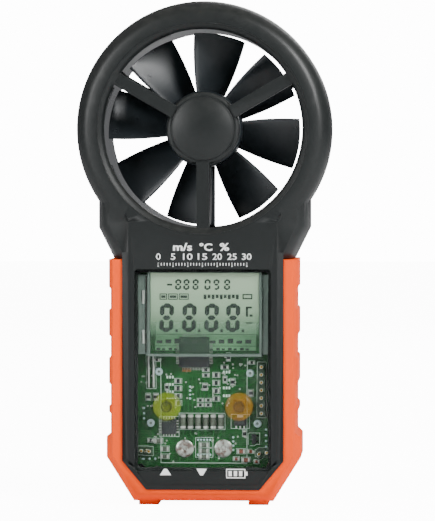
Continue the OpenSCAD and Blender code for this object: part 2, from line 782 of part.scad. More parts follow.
module front_guard() color([0.16, 0.17, 0.17]) difference() {
    union() {
        turned([[throat_r, front_y + lip_chamfer], [sleeve_r, front_y + 0.1],
                [sleeve_r, front_y + guard_ring_d], [throat_r, front_y + guard_ring_d]]);
        struts_between(guard_hub_r - 1, throat_r - 0.2, front_y + 1.9, front_y + 5.2);
        struts_between(guard_hub_r - 1, throat_r + 1, front_y + 1.9, front_y + guard_ring_d);
        turned([[0, guard_front_y], [guard_hub_r - 0.7, guard_front_y],
                [guard_hub_r, guard_front_y + 0.7], [guard_hub_r, guard_rear_y],
                [0, guard_rear_y]]);
    }
    rod(bearing_r, guard_rear_y - bearing_d, guard_rear_y + 1, 0, head_z);
}

module hub_cap() color([0.2, 0.21, 0.21])
    turned(concat([[0, guard_front_y]], dome(cap_r, cap_rise, guard_front_y)));

module rear_guard() color([0.16, 0.17, 0.17]) difference() {
    union() {
        turned([[throat_r, sleeve_rear_y + 0.1], [sleeve_r, sleeve_rear_y + 0.1],
                [sleeve_r, rear_y - 0.1], [throat_r, rear_y - lip_chamfer]]);
        struts_between(rear_hub_r - 1, throat_r - 0.2, rear_guard_front_y, rear_guard_rear_y);
        struts_between(rear_hub_r - 1, throat_r + 1, rear_y - guard_ring_d, rear_guard_rear_y);
        rod(rear_hub_r, rear_hub_front_y, rear_guard_rear_y, 0, head_z);
    }
    rod(bearing_r, rear_hub_front_y - 1, rear_hub_front_y + bearing_d, 0, head_z);
    block([-2.2, rear_hub_front_y - 1, head_z - hall_drop - 1.7],
          [2.2, hall_rear_y + 0.1, head_z - hall_drop + 1.7]);
    sensor_channel();
}

module bearing(y_low) color([0.8, 0.62, 0.3]) difference() {
    rod(bearing_r - fit / 2, y_low, y_low + bearing_d, 0, head_z);
    rod(shaft_r + running, y_low - 1, y_low + bearing_d + 1, 0, head_z);
}

module front_bearing() bearing(guard_rear_y - bearing_d);

module rear_bearing() bearing(rear_hub_front_y);

// A blade's edges: the front edge leads anticlockwise as seen from the front
function edge_angle(r) = 24.3 - 0.29 * r;
function blade_point(r, s, side) =
    let (a = edge_angle(r) * (1 - 2 * s),
         lead = side * blade_t / 2,
         tilt = atan2(blade_d, 2 * r * sin(edge_angle(r))),
         shift = lead * sin(tilt) / r * 180 / PI)
    [r * cos(a + shift), blade_front_y + blade_d * s + lead * cos(tilt), r * sin(a + shift)];

blade_steps = 4;
function blade_radii() = [for (i = [0 : blade_steps])
    blade_root_r + (vane_r - blade_root_r) * i / blade_steps];

function grid_index(side, i, j) = side * pow(blade_steps + 1, 2) + i * (blade_steps + 1) + j;

module blade() {
    n = blade_steps;
    points = [for (side = [0, 1], r = blade_radii(), j = [0 : n])
        blade_point(r, j / n, side * 2 - 1)];
    faces = concat(
        [for (i = [0 : n - 1], j = [0 : n - 1])
            each [[grid_index(0, i, j), grid_index(0, i + 1, j), grid_index(0, i + 1, j + 1)],
                  [grid_index(0, i, j), grid_index(0, i + 1, j + 1), grid_index(0, i, j + 1)],
                  [grid_index(1, i, j), grid_index(1, i + 1, j + 1), grid_index(1, i + 1, j)],
                  [grid_index(1, i, j), grid_index(1, i, j + 1), grid_index(1, i + 1, j + 1)]]],
        [for (j = [0 : n - 1])
            each [[grid_index(0, 0, j), grid_index(0, 0, j + 1), grid_index(1, 0, j + 1)],
                  [grid_index(0, 0, j), grid_index(1, 0, j + 1), grid_index(1, 0, j)],
                  [grid_index(0, n, j), grid_index(1, n, j), grid_index(1, n, j + 1)],
                  [grid_index(0, n, j), grid_index(1, n, j + 1), grid_index(0, n, j + 1)]]],
        [for (i = [0 : n - 1])
            each [[grid_index(0, i, 0), grid_index(1, i, 0), grid_index(1, i + 1, 0)],
                  [grid_index(0, i, 0), grid_index(1, i + 1, 0), grid_index(0, i + 1, 0)],
                  [grid_index(0, i, n), grid_index(0, i + 1, n), grid_index(1, i + 1, n)],
                  [grid_index(0, i, n), grid_index(1, i + 1, n), grid_index(1, i, n)]]]);
    polyhedron(points, faces);
}

module impeller() color([0.07, 0.08, 0.08]) difference() {
    union() {
        turned([[0, vane_hub_front_y], [vane_hub_r - 1, vane_hub_front_y],
                [vane_hub_r, vane_hub_front_y + 1], [vane_hub_r, vane_hub_rear_y],
                [0, vane_hub_rear_y]]);
        for (i = [0 : blades - 1])
            translate([0, 0, head_z]) rotate([0, -first_blade - i * 360 / blades, 0]) blade();
    }
    rod(shaft_r + 0.01, front_y, rear_y, 0, head_z);
}

module impeller_shaft() color([0.75, 0.75, 0.77])
    rod(shaft_r, guard_rear_y - bearing_d + 0.2, rear_hub_front_y + bearing_d - 0.2, 0, head_z);

module sensor_magnet() color([0.35, 0.35, 0.37]) difference() {
    rod(magnet_r, vane_hub_rear_y, vane_hub_rear_y + magnet_d, 0, head_z);
    rod(shaft_r + 0.01, front_y, rear_y, 0, head_z);
}

module hall_sensor() color([0.1, 0.1, 0.1])
    block([-2, rear_hub_front_y + 0.1, head_z - hall_drop - 1.5],
          [2, hall_rear_y, head_z - hall_drop + 1.5]);

// ---- sensor cables ----

// A round cable along a list of points
module cable(points, r)
    for (i = [0 : len(points) - 2]) {
        along = points[i + 1] - points[i];
        length = norm(along);
        translate(points[i])
            rotate([0, acos(along[2] / length), atan2(along[1], along[0])])
                translate([0, 0, -r]) cylinder(r = r, h = length + 2 * r);
    }

// From the hall sensor down the rear guard's lower strut, then to the board
sensor_points = [
    [0, hall_rear_y + 0.8, head_z - hall_drop], [0, cable_y, head_z - hall_drop],
    [0, cable_y, head_z - sleeve_r - 3], [6, 6, grip_h + 4], [6, 0, grip_h - 1],
    [6, board_rear_y + 1, grip_h - 2.4]];
humidity_hw = 8;
humidity_hh = 4;
humidity_z = vent_low + 4.8;
humidity_y = core_rear_y - wall - 3.4;
humidity_points = [
    [-4.6, humidity_y - 2.7, humidity_z], [-6, humidity_y - 7, humidity_z - 3],
    [-6, 0, grip_h - 1], [-6, board_rear_y + 1, grip_h - 2.4]];

// The channel that the sensor cable lies in
module sensor_channel() {
    side = cable_r + 0.4;
    block([-side, hall_rear_y, head_z - hall_drop - side],
          [side, cable_y + side, head_z - hall_drop + side]);
    block([-side, cable_y - side, head_z - collar_r - 1],
          [side, cable_y + side, head_z - hall_drop + side]);
}

module sensor_cable() color([0.55, 0.1, 0.1]) cable(sensor_points, cable_r);

module humidity_cable() color([0.2, 0.2, 0.6]) cable(humidity_points, cable_r);

module humidity_sensor() color([0.85, 0.86, 0.84]) {
    block([-humidity_hw, humidity_y - 1.4, humidity_z - humidity_hh],
          [humidity_hw, humidity_y, humidity_z + humidity_hh]);
    block([-2.4, humidity_y, humidity_z - 2.4], [2.4, humidity_y + 1.6, humidity_z + 2.4]);
}

front_shell();
rear_shell();
front_grip();
rear_grip();
case_screws();
window_lens();
window_tape();
lcd_frame();
lcd_polariser();
lcd_front_glass();
lcd_rear_glass();
lcd_reflector();
contact_strip();
main_board();
microcontroller();
microcontroller_leads();
memory_chip();
regulator();
transistor();
smd_resistors();
smd_capacitors();
diode_row();
pin_header();
header_pins();
link_headers();
link_pins();
wire_links();
board_rivets();
board_screws();
tactile_switches();
left_button();
left_plunger();
right_button();
right_plunger();
contact_rivets();
battery_contacts();
battery();
battery_snaps();
battery_door();
door_pad();
duct_sleeve();
front_guard();
hub_cap();
rear_guard();
front_bearing();
rear_bearing();
impeller();
impeller_shaft();
sensor_magnet();
hall_sensor();
sensor_cable();
humidity_sensor();
humidity_cable();
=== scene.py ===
# Looks of a handheld weather meter: a vane wheel in a round duct above a body
# with soft grips, a clear window, a display, a circuit board and two push keys.
import json
import math

import bmesh
import bpy
from mathutils import Matrix, Vector
from mathutils.bvhtree import BVHTree


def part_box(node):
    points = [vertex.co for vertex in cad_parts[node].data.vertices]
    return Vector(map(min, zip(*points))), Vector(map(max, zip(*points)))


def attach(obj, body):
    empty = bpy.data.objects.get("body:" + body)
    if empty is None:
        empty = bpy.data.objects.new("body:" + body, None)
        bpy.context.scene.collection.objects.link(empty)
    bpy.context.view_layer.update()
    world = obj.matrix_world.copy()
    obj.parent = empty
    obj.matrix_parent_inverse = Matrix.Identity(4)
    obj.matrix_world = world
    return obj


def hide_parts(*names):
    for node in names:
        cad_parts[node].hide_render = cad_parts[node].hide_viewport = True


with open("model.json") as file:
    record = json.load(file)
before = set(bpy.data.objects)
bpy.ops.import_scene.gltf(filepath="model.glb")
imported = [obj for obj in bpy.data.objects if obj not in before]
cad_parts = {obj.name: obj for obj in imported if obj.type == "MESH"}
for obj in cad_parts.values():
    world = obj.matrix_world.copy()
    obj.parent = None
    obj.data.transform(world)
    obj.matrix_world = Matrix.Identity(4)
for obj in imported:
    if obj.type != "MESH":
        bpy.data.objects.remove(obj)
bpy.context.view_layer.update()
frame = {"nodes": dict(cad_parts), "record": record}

MM = 0.001
NODES = frame["nodes"]
BODY_OF = {n: b for b, members in frame["record"]["behaviour"]["bodies"].items() for n in members}
SLOT_OF = {s["node"]: s["material_slot"] for s in frame["record"]["subparts"]}


def box_mm(node):
    low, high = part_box(node)
    return [c / MM for c in low], [c / MM for c in high]


# Places read from the frame, in millimetres
WHEEL_LOW, WHEEL_HIGH = box_mm("impeller")
GLASS_LOW, GLASS_HIGH = box_mm("lcd_polariser")
CHIP_LOW, CHIP_HIGH = box_mm("microcontroller")
LENS_LOW, LENS_HIGH = box_mm("window_lens")
AXIS_Z = (WHEEL_LOW[2] + WHEEL_HIGH[2]) / 2
VANE_R = (WHEEL_HIGH[0] - WHEEL_LOW[0]) / 2
BOARD_Y = box_mm("main_board")[0][1]


# ---- shader helpers ----

def tone(code):
    """A linear colour from a six-digit sRGB code."""
    parts = [int(code[i:i + 2], 16) / 255 for i in (0, 2, 4)]
    return tuple(c / 12.92 if c <= 0.04045 else ((c + 0.055) / 1.055) ** 2.4 for c in parts) + (1,)


def put(tree, kind, inputs=None, **settings):
    """Adds a node, sets its properties, and fills or links its inputs."""
    node = tree.nodes.new(kind)
    for key, value in settings.items():
        setattr(node, key, value)
    for key, value in (inputs or {}).items():
        if isinstance(value, bpy.types.NodeSocket):
            tree.links.new(value, node.inputs[key])
        else:
            node.inputs[key].default_value = value
    return node


def maths(tree, operation, a, b=0.0, clamp=False):
    node = put(tree, "ShaderNodeMath", {0: a, 1: b}, operation=operation, use_clamp=clamp)
    return node.outputs[0]


def blend_colours(tree, factor, a, b):
    node = put(tree, "ShaderNodeMix", {0: factor, 6: a, 7: b}, data_type="RGBA")
    return node.outputs[2]


def object_place(tree):
    return put(tree, "ShaderNodeTexCoord").outputs["Object"]


def steps_along(tree, axis, stops, interpolation="LINEAR"):
    """Colours that change along X, Y or Z; stops are (millimetres, sRGB code or grey level)."""
    place = put(tree, "ShaderNodeSeparateXYZ", {0: object_place(tree)}).outputs[axis]
    first, last = stops[0][0], stops[-1][0]
    share = put(tree, "ShaderNodeMapRange", {0: place, 1: first * MM, 2: last * MM}).outputs[0]
    ramp = put(tree, "ShaderNodeValToRGB", {0: share})
    ramp.color_ramp.interpolation = interpolation
    while len(ramp.color_ramp.elements) < len(stops):
        ramp.color_ramp.elements.new(0.5)
    for element, (at, code) in zip(ramp.color_ramp.elements, stops):
        element.position = (at - first) / (last - first)
        element.color = tone(code) if isinstance(code, str) else (code, code, code, 1)
    return ramp.outputs[0]


def new_group(name, inputs, outputs):
    tree = bpy.data.node_groups.new(name, "ShaderNodeTree")
    for label, kind, value in inputs:
        socket = tree.interface.new_socket(label, in_out="INPUT", socket_type="NodeSocket" + kind)
        socket.default_value = value
    for label, kind in outputs:
        tree.interface.new_socket(label, in_out="OUTPUT", socket_type="NodeSocket" + kind)
    return tree, tree.nodes.new("NodeGroupInput").outputs, tree.nodes.new("NodeGroupOutput").inputs


def moulded_surface():
    """Grain, slow colour drift, softened edges and wear along them."""
    tree, given, result = new_group(
        "moulded_surface",
        [("Colour", "Color", (0.5, 0.5, 0.5, 1)), ("Edge Colour", "Color", (0.7, 0.7, 0.7, 1)),
         ("Mottle", "Float", 0.1), ("Grain Size", "Float", 0.0004), ("Grain Depth", "Float", 0.00002),
         ("Roughness", "Float", 0.5), ("Roughness Spread", "Float", 0.1),
         ("Edge Radius", "Float", 0.0003), ("Edge Wear", "Float", 0.2)],
        [("Colour", "Color"), ("Roughness", "Float"), ("Normal", "Vector"), ("Edge", "Float")])
    place = object_place(tree)
    scale = maths(tree, "DIVIDE", 1.0, given["Grain Size"])
    fine = put(tree, "ShaderNodeTexNoise", {"Vector": place, "Scale": scale, "Detail": 2.0})
    broad = put(tree, "ShaderNodeTexNoise", {"Vector": place, "Scale": 70.0, "Detail": 4.0})
    smear = put(tree, "ShaderNodeTexNoise", {"Vector": place, "Scale": 260.0, "Detail": 3.0})
    drift = maths(tree, "SUBTRACT", broad.outputs[0], 0.5)
    speckle = maths(tree, "SUBTRACT", fine.outputs[0], 0.5)
    value = maths(tree, "ADD", 1.0, maths(tree, "MULTIPLY", maths(tree, "ADD", drift, speckle),
                                          given["Mottle"]))
    toned = put(tree, "ShaderNodeHueSaturation", {"Value": value, "Color": given["Colour"]})
    soft = put(tree, "ShaderNodeBevel", {"Radius": given["Edge Radius"]}, samples=4)
    true = put(tree, "ShaderNodeNewGeometry").outputs["Normal"]
    dot = put(tree, "ShaderNodeVectorMath", {0: soft.outputs[0], 1: true}, operation="DOT_PRODUCT")
    turn = maths(tree, "SUBTRACT", 1.0, dot.outputs["Value"])
    edge = maths(tree, "MULTIPLY", maths(tree, "MULTIPLY", turn, 5.0, True), smear.outputs[0])
    worn = maths(tree, "MULTIPLY", edge, given["Edge Wear"])
    colour = blend_colours(tree, worn, toned.outputs[0], given["Edge Colour"])
    spread = maths(tree, "MULTIPLY", maths(tree, "SUBTRACT", smear.outputs[0], 0.5),
                   given["Roughness Spread"])
    roughness = maths(tree, "ADD", given["Roughness"], spread, True)
    bump = put(tree, "ShaderNodeBump", {"Height": fine.outputs[0], "Normal": soft.outputs[0],
                                        "Distance": given["Grain Depth"], "Strength": 1.0})
    for key, value in (("Colour", colour), ("Roughness", roughness),
                       ("Normal", bump.outputs[0]), ("Edge", edge)):
        tree.links.new(value, result[key])
    return tree


def dust_film():
    """A thin, patchy film of dust that settles on faces that look upwards."""
    tree, given, result = new_group(
        "dust_film", [("Colour", "Color", (0.5, 0.5, 0.5, 1)), ("Amount", "Float", 0.2)],
        [("Colour", "Color"), ("Mask", "Float")])
    normal = put(tree, "ShaderNodeNewGeometry").outputs["Normal"]
    up = put(tree, "ShaderNodeSeparateXYZ", {0: normal}).outputs["Z"]
    patches = put(tree, "ShaderNodeTexNoise", {"Vector": object_place(tree), "Scale": 420.0,
                                               "Detail": 5.0})
    lying = maths(tree, "MULTIPLY", maths(tree, "ADD", up, 0.0, True), patches.outputs[0])
    mask = maths(tree, "MULTIPLY", lying, given["Amount"])
    tree.links.new(blend_colours(tree, mask, given["Colour"], tone("A9A69E")), result["Colour"])
    tree.links.new(mask, result["Mask"])
    return tree


MOULDED = moulded_surface()
DUST = dust_film()


def material(name, colour, roughness, edge="8A8A8A", mottle=0.12, grain=0.4, depth=0.012,
             spread=0.12, radius=0.25, wear=0.15, dust=0.0, pattern=None, alpha=None, **shader):
    """A surface made of the moulded group, with what is special set on the shader itself."""
    made = bpy.data.materials.new(name)
    made.use_nodes = True
    tree = made.node_tree
    principled = tree.nodes["Principled BSDF"]
    group = put(tree, "ShaderNodeGroup", node_tree=MOULDED)
    for key, value in (("Colour", tone(colour)), ("Edge Colour", tone(edge)), ("Mottle", mottle),
                       ("Grain Size", grain * MM), ("Grain Depth", depth * MM),
                       ("Roughness", roughness), ("Roughness Spread", spread),
                       ("Edge Radius", radius * MM), ("Edge Wear", wear)):
        group.inputs[key].default_value = value
    if pattern:
        tree.links.new(pattern(tree, tone(colour)), group.inputs["Colour"])
    colour_out = group.outputs["Colour"]
    if dust:
        film = put(tree, "ShaderNodeGroup", node_tree=DUST)
        tree.links.new(colour_out, film.inputs["Colour"])
        film.inputs["Amount"].default_value = dust
        colour_out = film.outputs["Colour"]
    tree.links.new(colour_out, principled.inputs["Base Color"])
    tree.links.new(group.outputs["Roughness"], principled.inputs["Roughness"])
    tree.links.new(group.outputs["Normal"], principled.inputs["Normal"])
    if alpha:
        tree.links.new(alpha(tree), principled.inputs["Alpha"])
    for key, value in shader.items():
        principled.inputs[key.replace("_", " ")].default_value = value
    return made


def let_light_through(made, tint):
    """Lets light reach what is behind a clear piece instead of casting a dark shadow."""
    tree = made.node_tree
    path = put(tree, "ShaderNodeLightPath").outputs
    spared = maths(tree, "MAXIMUM", path["Is Shadow Ray"], path["Is Diffuse Ray"])
    clear = put(tree, "ShaderNodeBsdfTransparent", {"Color": tone(tint)})
    surface = tree.nodes["Principled BSDF"].outputs[0]
    mixed = put(tree, "ShaderNodeMixShader", {0: spared, 1: surface, 2: clear.outputs[0]})
    tree.links.new(mixed.outputs[0], tree.nodes["Material Output"].inputs["Surface"])


# ---- patterns ----

def solder_mask(tree, base):
    """Green mask with slightly lighter tracks under it."""
    cells = put(tree, "ShaderNodeTexVoronoi", {"Vector": object_place(tree), "Scale": 420.0},
                feature="DISTANCE_TO_EDGE")
    line = maths(tree, "LESS_THAN", cells.outputs["Distance"], 0.06)
    clouds = put(tree, "ShaderNodeTexNoise", {"Vector": object_place(tree), "Scale": 120.0})
    pour = blend_colours(tree, clouds.outputs[0], base, tone("0E4A1C"))
    return blend_colours(tree, maths(tree, "MULTIPLY", line, 0.35), pour, tone("1F6A2C"))


def jacket_bands(tree, base):
    """A plain two-tone battery jacket with a thin line between the tones."""
    return steps_along(tree, "Z", [(22, "1B1C1E"), (56, "C9CBCD"), (57, "B8742F"), (70, "B8742F")],
                       "CONSTANT")


def display_fade(tree, base):
    return steps_along(tree, "Z", [(49, "5E9A68"), (56, "86A68A"), (62, "9FB29A"), (77, "B4BEAA")])


def display_cover(tree):
    """The display hides less of the board towards its lower edge."""
    return steps_along(tree, "Z", [(49, 0.06), (55, 0.08), (58, 0.36), (64, 0.74), (77, 0.9)])


def rivet_stains(tree, base):
    """Brown flux stains on a bright rivet."""
    blots = put(tree, "ShaderNodeTexNoise", {"Vector": object_place(tree), "Scale": 700.0, "Detail": 3.0})
    stained = put(tree, "ShaderNodeMapRange", {0: blots.outputs[0], 1: 0.42, 2: 0.62}).outputs[0]
    return blend_colours(tree, maths(tree, "MULTIPLY", stained, 0.8), base, tone("6A3E36"))


# ---- the meter's materials ----

LOOKS = {
    "casing": material("dark_abs", "131717", 0.42, edge="4E5452", grain=0.35, depth=0.014,
                       dust=0.10, wear=0.25, Specular_IOR_Level=0.35),
    "soft_grip": material("orange_soft_touch", "FA5000", 0.6, edge="FF7A20", mottle=0.08, grain=0.3,
                          depth=0.01, wear=0.3, Specular_IOR_Level=0.15),
    "screw_steel": material("screw_steel", "B4B6B8", 0.3, mottle=0.2, grain=0.15, Metallic=1.0),
    "clear_window": material("clear_acrylic", "F3FAF6", 0.04, mottle=0.02, depth=0.0005,
                             spread=0.03, wear=0.0, radius=0.1, Transmission_Weight=1.0, IOR=1.2,
                             Specular_IOR_Level=0.25),
    "black_foam": material("black_foam", "1A1B1C", 0.9, grain=0.5, depth=0.1, mottle=0.4),
    "display_frame": material("display_frame_grey", "5A625E", 0.5, mottle=0.1),
    "display_glass": material("display_sheet", "D5DECF", 0.08, mottle=0.02, depth=0.0005,
                              spread=0.03, wear=0.0, Transmission_Weight=1.0, IOR=1.1,
                              Specular_IOR_Level=0.2),
    "contact_rubber": material("pink_contact_strip", "C98088", 0.7, mottle=0.2),
    "board_green": material("green_solder_mask", "08300F", 0.34, edge="C9B26A", mottle=0.25,
                            grain=0.2, depth=0.006, wear=0.3, dust=0.1, pattern=solder_mask,
                            Specular_IOR_Level=0.25),
    "chip_black": material("chip_epoxy", "17171C", 0.55, mottle=0.25, grain=0.1, depth=0.008,
                           wear=0.2),
    "tinned_metal": material("tinned_metal", "DAD7D5", 0.32, mottle=0.25, grain=0.12,
                             depth=0.008, Metallic=1.0),
    "gold_pins": material("gold_plate", "D9A84E", 0.25, mottle=0.2, grain=0.12, Metallic=1.0),
    "capacitor_body": material("ceramic_grey", "55584E", 0.4, mottle=0.4, grain=0.2),
    "white_nylon": material("white_nylon", "C4D2DA", 0.45, mottle=0.2),
    "key_green": material("green_key_silicone", "8CA01A", 0.3, edge="B8CC50", mottle=0.5,
                          grain=0.9, wear=0.5, Alpha=0.28, Coat_Weight=0.2),
    "key_amber": material("amber_key_silicone", "A07414", 0.3, edge="D0A050", mottle=0.9,
                          grain=1.4, wear=0.5, Alpha=0.28, Coat_Weight=0.2),
    "battery_jacket": material("battery_jacket", "1B1C1E", 0.3, mottle=0.1, wear=0.1,
                               pattern=jacket_bands),
    "duct_black": material("glossy_duct_black", "121416", 0.12, mottle=0.1, depth=0.002,
                           spread=0.06, wear=0.3, Coat_Weight=0.5, Coat_Roughness=0.08),
    "vane_black": material("vane_nylon", "1B2023", 0.3, edge="6A7072", mottle=0.1, grain=0.3,
                           depth=0.005, wear=0.25),
    "bearing_brass": material("bearing_brass", "B58E4A", 0.25, mottle=0.2, Metallic=1.0),
    "magnet_grey": material("magnet_ferrite", "4A4C50", 0.5, mottle=0.3, grain=0.2),
    "cable_red": material("red_sleeve", "A32420", 0.4, mottle=0.1),
    "cable_blue": material("blue_sleeve", "2A4A9A", 0.4, mottle=0.1),
}
let_light_through(LOOKS["clear_window"], "F4FAF7")
let_light_through(LOOKS["display_glass"], "E4EADF")
REFLECTOR = material("display_reflector", "A9B9A2", 0.5, mottle=0.04, wear=0.0,
                     pattern=display_fade, alpha=display_cover, Specular_IOR_Level=0.15)
BACKING = material("pale_backing_ink", "86B08A", 0.6, mottle=0.3, grain=0.5, wear=0.0)
DIGIT_INK = material("display_segments", "1C2420", 0.5, mottle=0.2, wear=0.0)
PRINT = material("white_print", "F2F4F2", 0.5, mottle=0.15, grain=0.1, wear=0.0)
SILK = material("board_legend", "DCE6DE", 0.6, mottle=0.3, grain=0.08, wear=0.0)
TRACK = material("board_tracks", "1C6A2A", 0.35, mottle=0.3, grain=0.15, wear=0.0)
COPPER = material("copper_leads", "C98A66", 0.3, mottle=0.3, grain=0.1, Metallic=1.0)
RIVET_STEEL = material("stained_rivet", "C9C6C4", 0.3, mottle=0.3, grain=0.2, pattern=rivet_stains,
                       Metallic=0.6)
HEADER_BODY = material("header_green_black", "0A3014", 0.5, mottle=0.3, grain=0.1)
RUST_BODY = material("brown_ceramic", "7C4032", 0.45, mottle=0.3, grain=0.15)
KEY_MARK = material("key_marking", "141A08", 0.5, mottle=0.1, wear=0.0)
GREY_STRIP = material("grey_side_strip", "6B736F", 0.45, mottle=0.1)
# A dark brown that is painted shade, for the gap just left of the display frame
GAP_SHADE_PAINT = material("painted_gap_shade", "241712", 0.6, mottle=0.2)


# ---- mesh helpers, all in millimetres ----

def settled(thing):
    """The object's mesh with its modifiers worked out."""
    bpy.context.view_layer.update()
    shape = bpy.data.meshes.new_from_object(thing.evaluated_get(
        bpy.context.evaluated_depsgraph_get()))
    thing.modifiers.clear()
    return shape


def into_place(name, shape, look, body, replaced=(), sharp=32):
    """Turns a mesh in metres into a finished piece that rides on its body."""
    bm = bmesh.new()
    bm.from_mesh(shape)
    bmesh.ops.recalc_face_normals(bm, faces=bm.faces)
    bm.to_mesh(shape)
    bm.free()
    shape.name = name
    shape.materials.clear()
    shape.materials.append(look)
    for face in shape.polygons:
        face.use_smooth = True
        face.material_index = 0
    shape.set_sharp_from_angle(angle=math.radians(sharp))
    piece = bpy.data.objects.new(name, shape)
    bpy.context.scene.collection.objects.link(piece)
    weighted = piece.modifiers.new("even_normals", "WEIGHTED_NORMAL")
    weighted.keep_sharp = True
    piece.data = settled(piece)
    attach(piece, body)
    if replaced:
        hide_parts(*replaced)


def finished(name, bm, slot_name, look=None, body="case", replaced=(), sharp=32):
    """The same for a bmesh drawn in millimetres; the look is the slot's own unless one is given."""
    bmesh.ops.scale(bm, vec=(MM, MM, MM), verts=bm.verts)
    shape = bpy.data.meshes.new(name)
    bm.to_mesh(shape)
    bm.free()
    into_place(name, shape, look or LOOKS[slot_name], body, replaced, sharp)


def refined(node):
    """A clean copy of a CAD node with even curved faces, shown instead of it."""
    bm = bmesh.new()
    bm.from_mesh(NODES[node].data)
    bmesh.ops.remove_doubles(bm, verts=bm.verts, dist=2e-6)
    bmesh.ops.dissolve_limit(bm, angle_limit=math.radians(0.01), verts=bm.verts, edges=bm.edges)
    shape = bpy.data.meshes.new(node)
    bm.to_mesh(shape)
    bm.free()
    slot_name = SLOT_OF[node]
    into_place(node + "_finished", shape, LOOKS[slot_name], BODY_OF[node], (node,))


def islands(node):
    """The lowest and highest corners of each separate solid in a CAD node."""
    bm = bmesh.new()
    bm.from_mesh(NODES[node].data)
    bmesh.ops.remove_doubles(bm, verts=bm.verts, dist=1e-6)
    waiting = set(bm.verts)
    found = []
    while waiting:
        stack = [waiting.pop()]
        corners = []
        while stack:
            vert = stack.pop()
            corners.append(vert.co / MM)
            for edge in vert.link_edges:
                other = edge.other_vert(vert)
                if other in waiting:
                    waiting.remove(other)
                    stack.append(other)
        found.append(([round(min(c[i] for c in corners), 4) for i in range(3)],
                      [round(max(c[i] for c in corners), 4) for i in range(3)]))
    bm.free()
    return sorted(found)


def seen_centre(low, high):
    """The middle of a box as (x, z), as seen from the front."""
    return (low[0] + high[0]) / 2, (low[2] + high[2]) / 2


def standing_places(node):
    """The (x, z) centres of a node's separate solids, each place once."""
    return sorted({tuple(round(c, 2) for c in seen_centre(low, high)) for low, high in islands(node)})


def block(bm, low, high, ease=0.0):
    """A box from corner to corner, its edges eased when asked."""
    size = [b - a for a, b in zip(low, high)]
    middle = [(a + b) / 2 for a, b in zip(low, high)]
    made = bmesh.ops.create_cube(bm, size=1, matrix=Matrix.Translation(middle) @ Matrix.Diagonal(
        (*size, 1)))
    if ease:
        edges = {e for v in made["verts"] for e in v.link_edges}
        bmesh.ops.bevel(bm, geom=list(edges), offset=ease, segments=2, affect="EDGES", profile=0.6)


def outline(bm, x0, x1, z0, z1, width, y0, y1):
    """A rectangle drawn with four thin strips."""
    block(bm, (x0, y0, z0), (x1, y1, z0 + width))
    block(bm, (x0, y0, z1 - width), (x1, y1, z1))
    block(bm, (x0, y0, z0 + width), (x0 + width, y1, z1 - width))
    block(bm, (x1 - width, y0, z0 + width), (x1, y1, z1 - width))


def slab(bm, corners, y0, y1):
    """A flat shape given by its (x, z) corners."""
    front = [bm.verts.new((x, y0, z)) for x, z in corners]
    back = [bm.verts.new((x, y1, z)) for x, z in corners]
    bm.faces.new(front)
    bm.faces.new(back[::-1])
    count = len(corners)
    for i in range(count):
        bm.faces.new((front[i], back[i], back[(i + 1) % count], front[(i + 1) % count]))


def around(r, sides):
    """Evenly spaced points on a circle about the origin."""
    return [(r * math.cos(math.tau * k / sides), r * math.sin(math.tau * k / sides)) for k in range(sides)]


def circle(bm, r, x, y, z, sides):
    """A ring of corners that faces along Y."""
    return [bm.verts.new((x + a, y, z + b)) for a, b in around(r, sides)]


def band(bm, a, b):
    """Faces between two rings with as many corners each."""
    count = len(a)
    for k in range(count):
        m = (k + 1) % count
        bm.faces.new((a[k], a[m], b[m], b[k]))


def turned(bm, profile, x, z, sides=40):
    """A body of revolution about a line along Y; the profile is (radius, y) from axis to axis."""
    rings = [circle(bm, r, x, y, z, sides) if r else [bm.verts.new((x, y, z))] for r, y in profile]
    for a, b in zip(rings, rings[1:]):
        if len(a) == len(b):
            band(bm, a, b)
            continue
        for k in range(sides):
            m = (k + 1) % sides
            bm.faces.new((a[0], b[m], b[k]) if len(a) == 1 else (a[k], a[m], b[0]))


def hoop(bm, x, z, outer, inner, y0, y1, sides=32):
    """A flat ring that faces along Y."""
    loops = [circle(bm, r, x, y, z, sides) for r, y in ((outer, y0), (inner, y0), (inner, y1), (outer, y1))]
    for a, b in zip(loops, loops[1:] + loops[:1]):
        band(bm, a, b)


def track(bm, path, width, y0, y1):
    """A thin strip along (x, z) points."""
    for (xa, za), (xb, zb) in zip(path, path[1:]):
        along = Vector((xb - xa, zb - za)).normalized() * (width / 2)
        side = Vector((-along.y, along.x))
        ends = [Vector((xa, za)) - along * 0.9, Vector((xb, zb)) + along * 0.9]
        slab(bm, [tuple(ends[0] + side), tuple(ends[0] - side), tuple(ends[1] - side),
                  tuple(ends[1] + side)], y0, y1)


def front_face_of(node):
    """A probe that finds how far forward a node's front surface lies at (x, z)."""
    bm = bmesh.new()
    bm.from_mesh(NODES[node].data)
    tree = BVHTree.FromBMesh(bm)
    bm.free()

    def probe(x, z):
        hit = tree.ray_cast(Vector((x, -60, z)) * MM, Vector((0, 1, 0)))[0]
        return hit.y / MM
    return probe


# ---- repeating parts ----

